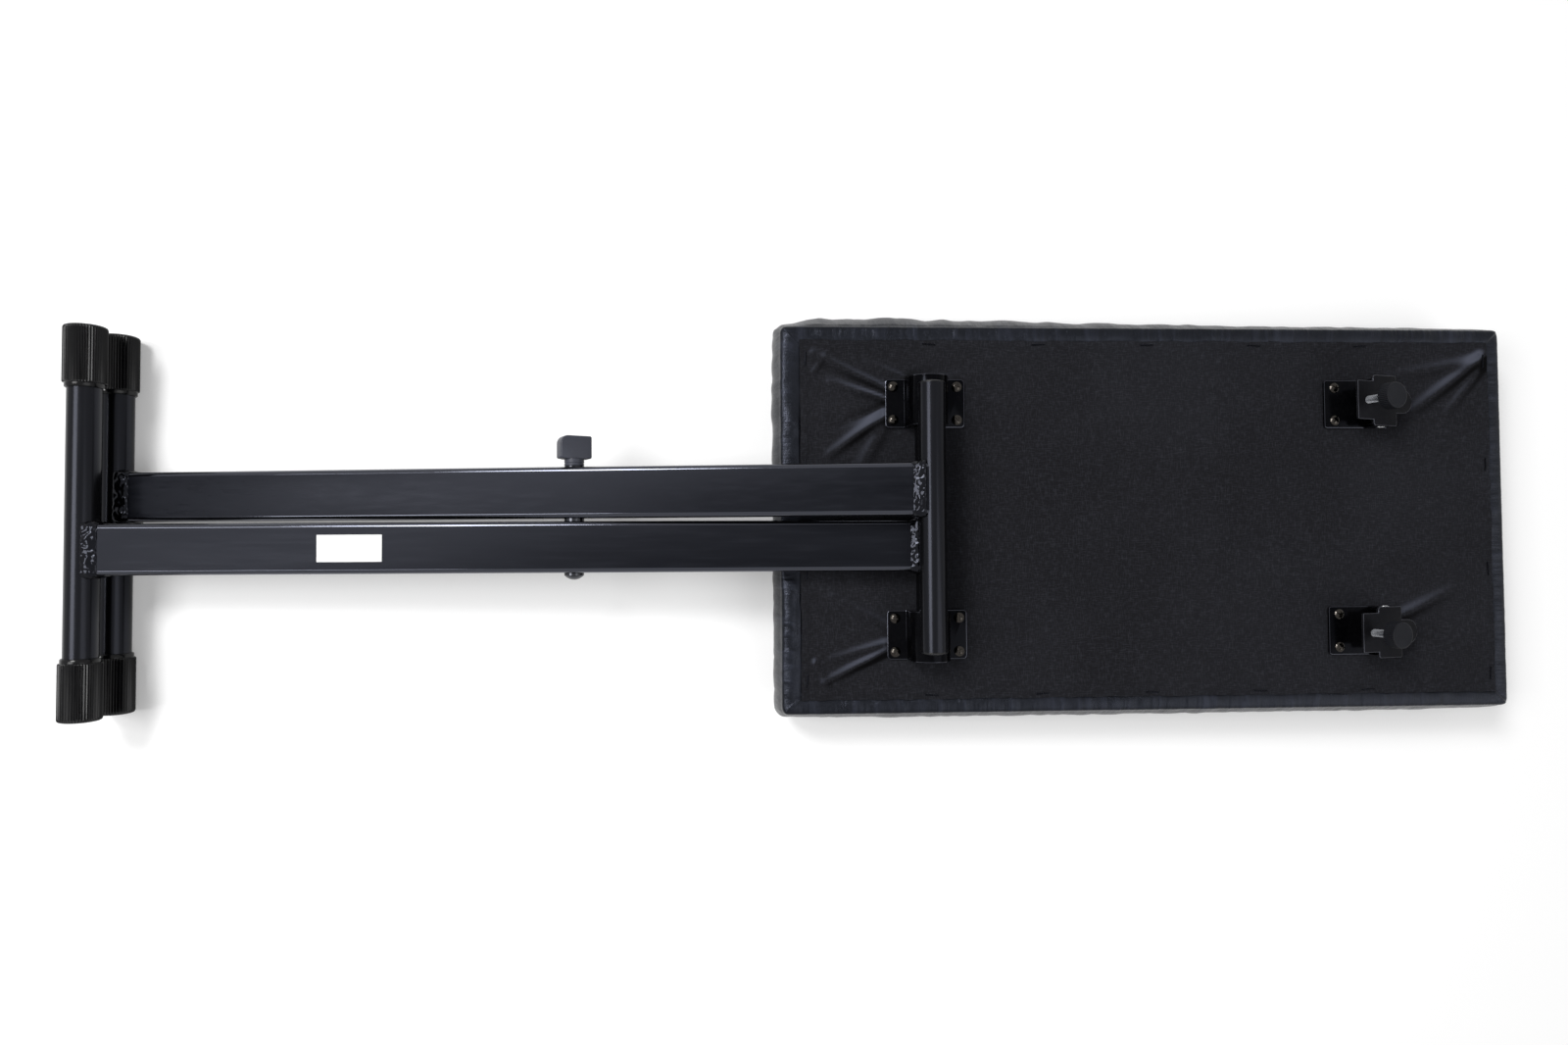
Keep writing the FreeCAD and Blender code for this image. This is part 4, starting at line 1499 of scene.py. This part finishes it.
@dataclass
class Clamp(Assembly):
    """Base plate with lugs, a jaw that rocks on a pin, and its thumb screw."""

    width: float = 39.0
    base_front: float = 8.3
    base_length: float = 53.0
    base_thickness: float = 2.5
    base_corner: float = 2.0
    lug_thickness: float = 2.4
    lug_radius: float = 8.0
    pin_reach: float = 32.5
    pin_height: float = 11.0
    pin_radius: float = 2.5
    pin_head: tuple = (3.6, 1.0)
    slope: float = 15.0
    screw_reach: float = 12.5694
    screw_height: float = 27.0006
    jaw_thickness: float = 2.0
    lip: tuple = (10.2, 31.0)
    shoulder: tuple = (5.5, 40.6)
    heel: tuple = (29.5, 1.5)
    tail: tuple = (45.9, 19.5)
    ear: tuple = (2.0, 6.0)
    thumb_radius: float = 3.0
    thumb_bottom: float = -2.2
    thumb_length: float = 24.2
    thread_pitch: float = 1.0
    knob_seat: float = 16.0
    knob_radius: float = 10.4
    knob_height: float = 10.0
    knob_ribs: int = 44

    def standing(self, corners: list, rounds: dict, thickness: float, y: float) -> tuple:
        """Plate cut in the XZ plane.

        Args:
            corners: X and Z of the outline's corners.
            rounds: Radius for the number of a round corner.
            thickness: Thickness along Y.
            y: Middle of the plate along Y.

        Returns:
            The mesh and the matrix that stands it up.
        """
        return cut_out(corners, rounds, thickness, 0.3), shift(y=y) @ Matrix.Rotation(math.pi / 2, 4, "X")

    def base(self) -> bmesh.types.BMesh:
        """Base plate with its lugs, measured from the screw line.

        Returns:
            The mesh.
        """
        plate = rounded_box((self.base_length, self.width, self.base_thickness), self.base_corner, 0.35)
        parts = [(plate, shift(self.base_length / 2 - self.base_front, 0, self.base_thickness / 2))]
        radius = self.lug_radius
        left, right, top = self.pin_reach - radius, self.pin_reach + radius, self.pin_height + radius
        outline = [(left, 0.4), (right, 0.4), (right, top), (left, top)]
        for end in (-1, 1):
            y = end * (self.width - self.lug_thickness) / 2
            parts.append(self.standing(outline, {2: radius, 3: radius}, self.lug_thickness, y))
        return merged(parts)

    def pin(self) -> bmesh.types.BMesh:
        """Pin with a bevelled head at each end.

        Returns:
            The mesh.
        """
        radius, length = self.pin_head
        half, tip = self.width / 2, self.width / 2 + length
        rim = [(radius, half + 0.1), (radius, tip - 0.35), (radius - 0.35, tip), (0, tip)]
        profile = [(0, 0), (self.pin_radius, 0), (self.pin_radius, half + 0.1)] + rim
        place = shift(self.pin_reach, 0, self.pin_height)
        return merged([(lathe(profile, 36), place @ turned_to(side)) for side in Side])

    def jaw(self) -> bmesh.types.BMesh:
        """Jaw in its own plane, measured from the thumb screw.

        Returns:
            The mesh.
        """
        lip, lip_y = self.lip[0], self.lip[1] / 2
        shoulder, wide = self.shoulder[0], self.shoulder[1] / 2
        heel, corner = self.heel
        reach, tail = self.tail[0], self.tail[1] / 2
        half = [(-lip, lip_y), (shoulder, lip_y), (shoulder, wide), (heel, wide), (heel, tail), (reach, tail)]
        outline = [(x, -y) for x, y in half] + [(x, y) for x, y in reversed(half)]
        rounds = {0: 1.0, 11: 1.0, 2: 2.2, 9: 2.2, 3: corner, 8: corner, 5: tail, 6: tail}
        plate = cut_out(outline, rounds, self.jaw_thickness, 0.4)
        parts = [(plate, shift(z=-self.jaw_thickness / 2))]
        across, down = self.pin_reach - self.screw_reach, self.screw_height - self.pin_height
        tilt = math.radians(self.slope)
        along = across * math.cos(tilt) + down * math.sin(tilt)
        below = across * math.sin(tilt) - down * math.cos(tilt)
        thickness, radius = self.ear
        ear = [(along - radius, -self.jaw_thickness + 0.3), (along - radius, below - radius)]
        ear += [(along + radius, below - radius), (along + radius, -self.jaw_thickness + 0.3)]
        middle = self.width / 2 - self.lug_thickness - 0.3 - thickness / 2
        for end in (-1, 1):
            parts.append(self.standing(ear, {1: radius, 2: radius}, thickness, end * middle))
        return merged(parts)

    def screw(self) -> bmesh.types.BMesh:
        """Threaded shank along the jaw's normal.

        Returns:
            The mesh.
        """
        turns, steps, depth = round(self.thumb_length / self.thread_pitch) - 1, 24, 0.55
        root, crest = self.thumb_radius - depth, self.thumb_radius
        bm = bmesh.new()
        flank = [(root, 0.0), (crest, 0.42), (crest, 0.58), (root, 1.0)]
        points = [bm.verts.new((radius, 0, share * self.thread_pitch)) for radius, share in flank]
        lines = [bm.edges.new(pair) for pair in zip(points, points[1:])]
        bmesh.ops.spin(
            bm, geom=points + lines, cent=(0, 0, 0), axis=(0, 0, 1), dvec=(0, 0, self.thread_pitch / steps),
            angle=TURN * turns, steps=steps * turns, use_merge=False, use_duplicate=False,
        )
        seal(bm, 0.01)
        core = lathe([(0, 0), (root + 0.05, 0), (root + 0.05, self.thumb_length), (0, self.thumb_length)], 24)
        return merged([(bm, shift(z=self.thumb_bottom)), (core, shift(z=self.thumb_bottom))])

    def knob(self) -> bmesh.types.BMesh:
        """Ribbed knob with a flat, slightly sunk top.

        Returns:
            The mesh.
        """
        radius, height = self.knob_radius, self.knob_height
        profile = [
            (0, 0), (radius - 1.6, 0), (radius - 0.5, 0.5), (radius, 1.0), (radius, 2.5),
            (radius, height - 2.6), (radius, height - 1.4), (radius - 0.35, height - 0.55),
            (radius - 1.1, height - 0.12), (radius - 1.9, height), (radius - 2.6, height - 0.12),
            (radius * 0.4, height - 0.2), (0, height - 0.2),
        ]
        bm = lathe(profile, self.knob_ribs * 6)
        ribs(bm, self.knob_ribs, 0.6, (0.4, height - 1.0), radius - 1.2)
        for face in bm.faces:
            face.material_index = int(face.normal.z > 0.9)
        return bm

    def build(self, side: Side) -> None:
        """Make one clamp.

        Args:
            side: Side of the bench.
        """
        corner = shift(CLAMP_LINE, side.value * BRACKET_SPREAD / 2, BRACKET_LEVEL)
        tilt = Matrix.Rotation(math.radians(self.slope), 4, "Y")
        tilted = corner @ shift(self.screw_reach, 0, self.screw_height) @ tilt
        seat = tilted @ shift(z=self.knob_seat)
        rows = [
            ("base", self.base(), corner, Finishes.BRACKET, Finishes.BRACKET_EDGE, "clamp_base"),
            ("pin", self.pin(), corner, Finishes.CHROME, None, "clamp_pin"),
            ("jaw", self.jaw(), tilted, Finishes.JAW, Finishes.JAW_EDGE, "clamp_jaw"),
            ("thread", self.screw(), tilted, Finishes.ZINC, None, "thumb_screw"),
            ("ribbed_knob", self.knob(), seat, Finishes.KNOB, Finishes.KNOB_FACE, "thumb_knob"),
        ]
        for name, bm, place, finish, rim, node in rows:
            obj = loose(f"clamp_{name}_on_{side.word}", moved(bm, place))
            self.settle(obj, finish, (f"{node}_{side.word}",), rim=rim)


@dataclass
class Leg(Assembly):
    """One leg of the X: a rectangular tube between a foot bar and a top bar."""

    letter: str = "a"
    bar_word: str = "hinge"
    side: Side = Side.FRONT
    pivot_to_top: float = 279.0
    pivot_to_foot: float = 381.5
    tube_width: float = 40.0
    tube_depth: float = 20.0
    tube_corner: float = 3.5
    tube_spacing: float = 2.5
    top_radius: float = 10.5
    top_length: float = 225.0
    plug_dome: float = 2.6
    plug_rim: float = 0.8
    foot_radius: float = 12.0
    foot_length: float = 308.0
    cap_radius: float = 15.0
    cap_length: float = 49.0
    cap_lip: tuple = (3.5, 1.4)
    cap_ribs: int = 48
    bar_inset: float = 3.0
    bead_cell: float = 0.7

    def matrix(self) -> Matrix:
        """Place of the leg, from the pivot and the middle of its top bar.

        Returns:
            The matrix that turns X along the leg.
        """
        pivot = self.joint("cross_pivot")
        low, high = self.span(f"leg_{self.letter}_{self.bar_word}_bar")
        top = (low + high) / 2
        tilt = math.atan2(top.z - pivot.z, top.x - pivot.x)
        return Matrix.Translation(pivot) @ Matrix.Rotation(-tilt, 4, "Y")

    def middle(self) -> float:
        """Middle of the tube across the bench."""
        return self.side.value * (self.tube_spacing + self.tube_width) / 2

    def tube(self) -> bmesh.types.BMesh:
        """Rectangular tube with round corners along its length.

        Returns:
            The mesh.
        """
        start, end = -self.pivot_to_foot, self.pivot_to_top
        bm = rounded_box((self.tube_depth, self.tube_width, end - start), self.tube_corner, 0, 6)
        return moved(bm, shift((start + end) / 2, self.middle(), 0) @ Matrix.Rotation(math.pi / 2, 4, "Y"))

    def bar(self, radius: float, length: float, x: float) -> bmesh.types.BMesh:
        """Round bar across the leg.

        Args:
            radius: Radius of the bar.
            length: Length of the bar.
            x: Its place along the leg.

        Returns:
            The mesh.
        """
        half, rim = length / 2, radius - 0.4
        side = [(radius, 0.4 - half), (radius, half - 0.4)]
        profile = [(0, -half), (rim, -half)] + side + [(rim, half), (0, half)]
        return moved(lathe(profile, 96), shift(x) @ turned_to(Side.REAR))

    def plugs(self) -> bmesh.types.BMesh:
        """Domed plugs in the ends of the top bar.

        Returns:
            The mesh.
        """
        radius, rim = self.top_radius - 0.15, self.plug_rim
        stem = [(0, -0.5), (radius, -0.5), (radius, rim * 0.6)]
        dome = lathe(stem + arc(radius - 0.3, self.plug_dome - rim, 8, rim), 64)
        half = self.top_length / 2 - self.plug_dome
        places = [shift(self.pivot_to_top, side.value * half, 0) @ turned_to(side) for side in Side]
        return merged([(dome, place) for place in places])

    def cap(self, side: Side) -> bmesh.types.BMesh:
        """Ribbed foot cap with a smooth lip at its mouth.

        Args:
            side: End of the foot bar.

        Returns:
            The mesh.
        """
        radius, length = self.cap_radius, self.cap_length
        lip, step = self.cap_lip
        neck = radius - step
        profile = [
            (0, 0.6), (self.foot_radius + 0.2, 0.6), (neck - 0.5, 0), (neck, 0.5), (neck, lip - 0.3),
            (radius - 0.7, lip), (radius - 0.2, lip + 0.5), (radius, lip + 1.2), (radius, length - 3.4),
            (radius, length - 2.2), (radius - 0.6, length - 1.0), (radius - 1.8, length - 0.3),
            (radius - 3.4, length), (0, length),
        ]
        bm = lathe(profile, self.cap_ribs * 6)
        ribs(bm, self.cap_ribs, 0.8, (lip + 0.4, length - 1.9), radius - 1.0)
        mouth = shift(-self.pivot_to_foot, side.value * (self.foot_length / 2 - length), 0)
        return moved(bm, mouth @ turned_to(side))

    def weld(self, node: str) -> None:
        """Lumpy bead in place of a smooth weld.

        Args:
            node: Name of the weld's node.
        """
        bm = bmesh.new()
        bm.from_mesh(self.frame["nodes"][node].data)
        bmesh.ops.remove_doubles(bm, verts=bm.verts, dist=1e-6)
        mesh = bpy.data.meshes.new(node)
        bm.to_mesh(mesh)
        bm.free()
        obj = linked(f"{node}_bead", mesh)
        even = obj.modifiers.new("even", "REMESH")
        even.mode = "VOXEL"
        even.voxel_size = self.bead_cell * MM
        smooth = obj.modifiers.new("smooth", "SMOOTH")
        smooth.iterations = 3
        bake(obj)
        for vert in obj.data.vertices:
            x, y, z = (part / MM for part in vert.co)
            lump = 0.8 * uneven(x / 4.0, y / 3.0, z / 4.0) + 0.15 * uneven(x / 1.5, y / 1.5, z / 1.5)
            vert.co += vert.normal * (lump - 0.15) * MM
        self.settle(obj, Finishes.WELD, (node,), 80.0)

    def build(self) -> None:
        """Make the leg."""
        leg, bar, place = f"leg_{self.letter}", f"{self.bar_word}_bar", self.matrix()
        foot = self.bar(self.foot_radius, self.foot_length - 2 * self.bar_inset, -self.pivot_to_foot)
        top = self.bar(self.top_radius, self.top_length - 2 * self.plug_dome, self.pivot_to_top)
        rows = [
            (f"painted_tube_{self.letter}", self.tube(), Finishes.TUBE, f"{leg}_tube", 30.0),
            (f"foot_bar_of_{leg}", foot, Finishes.BAR, f"{leg}_foot_bar", 35.0),
            (f"{bar}_of_{leg}", top, Finishes.BAR, f"{leg}_{bar}", 35.0),
            (f"{bar}_end_plugs", self.plugs(), Finishes.PLUG, f"{bar}_plugs", 35.0),
        ]
        for side in Side:
            name, node = f"ribbed_cap_{self.letter}_{side.word}", f"{leg}_foot_cap_{side.word}"
            rows.append((name, self.cap(side), Finishes.CAP, node, 50.0))
        for name, bm, finish, node, angle in rows:
            rim = Finishes.TUBE_EDGE if finish is Finishes.TUBE else None
            self.settle(loose(name, moved(bm, place)), finish, (node,), angle, rim)
        for node in (f"{leg}_foot_weld", f"{leg}_top_weld"):
            self.weld(node)
        self.dress(f"{leg}_pivot_sleeve", Finishes.ZINC)


@dataclass
class Pivot(Assembly):
    """Bolt, washers and wing knob at the crossing of the legs."""

    bolt_radius: float = 4.0
    bolt_length: float = 98.0
    head_radius: float = 7.65
    head_height: float = 4.6
    head_rim: float = 1.0
    washer_radius: float = 7.75
    washer_thickness: float = 1.0
    edge: float = 41.25
    collar_length: float = 5.2
    wing_height: float = 18.5
    wing_width: float = 25.0
    wing_thickness: float = 12.0
    wing_shoulder: float = 0.8
    wing_rounds: tuple = (6.0, 1.5)
    wing_fillet: float = 1.2
    wing_turn: float = 28.0

    def washer(self, low: float) -> bmesh.types.BMesh:
        """Flat washer.

        Args:
            low: Place along Y at which it starts.

        Returns:
            The mesh.
        """
        inner, outer, high, cut = self.bolt_radius + 0.1, self.washer_radius, self.washer_thickness, 0.15
        profile = [(inner, 0), (outer - cut, 0), (outer, cut), (outer, high - cut), (outer - cut, high)]
        return moved(lathe(profile + [(inner, high), (inner, 0)], 48), shift(y=low) @ turned_to(Side.REAR))

    def bolt(self) -> bmesh.types.BMesh:
        """Bolt with a domed head on the front side.

        Returns:
            The mesh.
        """
        radius, rim, thin, end = self.head_radius, self.head_rim, self.bolt_radius, self.bolt_length
        dome = lathe([(0, 0), (radius, 0)] + arc(radius, self.head_height - rim, 10, rim), 64)
        shank = lathe([(0, 0), (thin, 0), (thin, end - 1.0), (thin - 0.8, end), (0, end)], 36)
        place = shift(y=-self.edge - self.washer_thickness)
        return merged([(dome, place @ turned_to(Side.FRONT)), (shank, place @ turned_to(Side.REAR))])

    def wing(self) -> bmesh.types.BMesh:
        """Wing knob: a flat wing with round edges on a round collar.

        Returns:
            The mesh.
        """
        start = self.edge + self.washer_thickness + 0.1
        foot, top = start + self.collar_length, start + self.collar_length + self.wing_height
        half, neck = self.wing_width / 2, self.head_radius
        low = foot + self.wing_shoulder
        outline = [(-neck, foot), (neck, foot), (half, low), (half, top), (-half, top), (-half, low)]
        rounds = {3: self.wing_rounds[1], 4: self.wing_rounds[0]}
        block = cut_out(outline, rounds, self.wing_thickness, self.wing_fillet, 5)
        length = self.collar_length + 0.4
        groove = [(neck, 1.6), (neck - 0.35, 1.9), (neck - 0.35, 2.3), (neck, 2.6)]
        profile = [(0, 0), (neck - 0.5, 0), (neck, 0.5)] + groove + [(neck, length), (0, length)]
        collar = (lathe(profile, 48), shift(y=start) @ turned_to(Side.REAR))
        knob = merged([(block, Matrix.Identity(4)), collar])
        return moved(knob, Matrix.Rotation(math.radians(self.wing_turn), 4, "Y"))

    def build(self) -> None:
        """Make the pivot."""
        centre = Matrix.Translation(self.joint("cross_pivot"))
        first, last = self.washer(-self.edge - self.washer_thickness), self.washer(self.edge)
        rows = [
            ("domed_pivot_bolt", self.bolt(), Finishes.DARK_CHROME, "pivot_bolt"),
            ("washer_under_head", first, Finishes.DARK_CHROME, "pivot_head_washer"),
            ("washer_under_knob", last, Finishes.DARK_CHROME, "pivot_knob_washer"),
            ("pivot_wing_knob", self.wing(), Finishes.WING, "pivot_knob"),
        ]
        for name, bm, finish, node in rows:
            self.settle(loose(name, moved(bm, centre)), finish, (node,), 40.0)
        self.dress("pivot_spacer_washer", Finishes.DARK_CHROME)
        self.dress("pivot_knob_insert", Finishes.BRASS)
        self.dress("blank_label", Finishes.LABEL)


@dataclass
class Studio:
    """Pale floor, soft lamps, white surroundings and the camera."""

    camera_place: tuple = (-0.3373, -0.0257, 0.8403)
    camera_turn: tuple = (0.030, -0.0509, -0.0058)
    lens: float = 22.48
    target: tuple = (-0.3, 0.0, 0.0)
    around: float = 0.3
    floor_lift: float = 0.2
    floor_tone: float = 0.86
    floor_size: float = 6000.0

    def camera(self) -> None:
        """Place the camera straight over the bench."""
        data = bpy.data.cameras.new("camera")
        data.lens = self.lens
        data.sensor_width = 36.0
        data.clip_start, data.clip_end = 0.01, 50.0
        obj = linked("camera", data)
        obj.location, obj.rotation_euler = self.camera_place, self.camera_turn
        bpy.context.scene.camera = obj

    def world(self) -> None:
        """Plain surroundings, white where the camera and gloss see them."""
        shade = Shade("studio", "worlds")
        seen = shade.rays("Camera", "Glossy", "Transmission")
        values = {"Value": seen, "To Min": self.around, "To Max": 1.0}
        strength = shade.add("ShaderNodeMapRange", None, values)
        back = shade.add("ShaderNodeBackground", None, {"Strength": strength.outputs[0]})
        shade.add("ShaderNodeOutputWorld", None, {"Surface": back.outputs[0]})
        bpy.context.scene.world = shade.material

    def floor(self) -> None:
        """White floor that still takes the shadows."""
        bm = bmesh.new()
        bmesh.ops.create_grid(bm, x_segments=1, y_segments=1, size=self.floor_size)
        obj = loose("studio_floor", bm)
        shade = Shade("floor_white")
        seen = shade.rays("Camera", "Glossy")
        diffuse = shade.add("ShaderNodeBsdfDiffuse", None, {"Color": (*(self.floor_tone,) * 3, 1.0)})
        values = {"Color": (1.0, 1.0, 1.0, 1.0), "Strength": seen * self.floor_lift}
        glow = shade.add("ShaderNodeEmission", None, values)
        both = shade.add("ShaderNodeAddShader", None, {0: diffuse.outputs[0], 1: glow.outputs[0]})
        shade.add("ShaderNodeOutputMaterial", None, {"Surface": both.outputs[0]})
        obj.data.materials.append(shade.material)

    def lamp(self, name: str, place: tuple, size: float, power: float) -> None:
        """Square soft lamp that looks at the hinge end of the bench.

        Args:
            name: Name of the lamp.
            place: Its place in metres.
            size: Its side in metres.
            power: Its power in watts.
        """
        data = bpy.data.lights.new(name, "AREA")
        data.shape, data.size, data.energy = "SQUARE", size, power
        obj = linked(name, data)
        obj.location = place
        aim = Vector(self.target) - Vector(place)
        obj.rotation_euler = aim.to_track_quat("-Z", "Y").to_euler()

    def build(self) -> None:
        """Set the studio up."""
        self.camera()
        self.world()
        self.floor()
        self.lamp("key_softbox", (-1.35, 1.05, 2.1), 0.7, 36.0)
        self.lamp("strip_softbox", (-1.75, 0.05, 2.05), 1.0, 27.0)
        self.lamp("fill_softbox", (1.6, -1.0, 2.6), 2.2, 26.0)
        bpy.context.scene.view_settings.view_transform = "Standard"


def main() -> None:
    """Build the bench piece by piece and report each one."""
    logging.basicConfig(level=logging.INFO, format="%(message)s", stream=sys.stdout)
    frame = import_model()
    Studio().build()
    SeatCushion(frame).build()
    DustCover(frame).build()
    saddle, clamp = HingeSaddle(frame), Clamp(frame)
    hinge = saddle.joint("frame_swing")
    for side in Side:
        saddle.build(side, Vector((hinge.x, side.value * BRACKET_SPREAD / 2, hinge.z)))
        clamp.build(side)
    seats = (BRACKET_LEVEL + saddle.thickness, BRACKET_LEVEL + clamp.base_thickness)
    PanHeadScrews(frame).build(hinge, seats)
    Leg(frame, "a", "hinge", Side.FRONT).build()
    Leg(frame, "b", "free", Side.REAR, top_length=210.0).build()
    Pivot(frame).build()


if __name__ == "__main__":
    main()
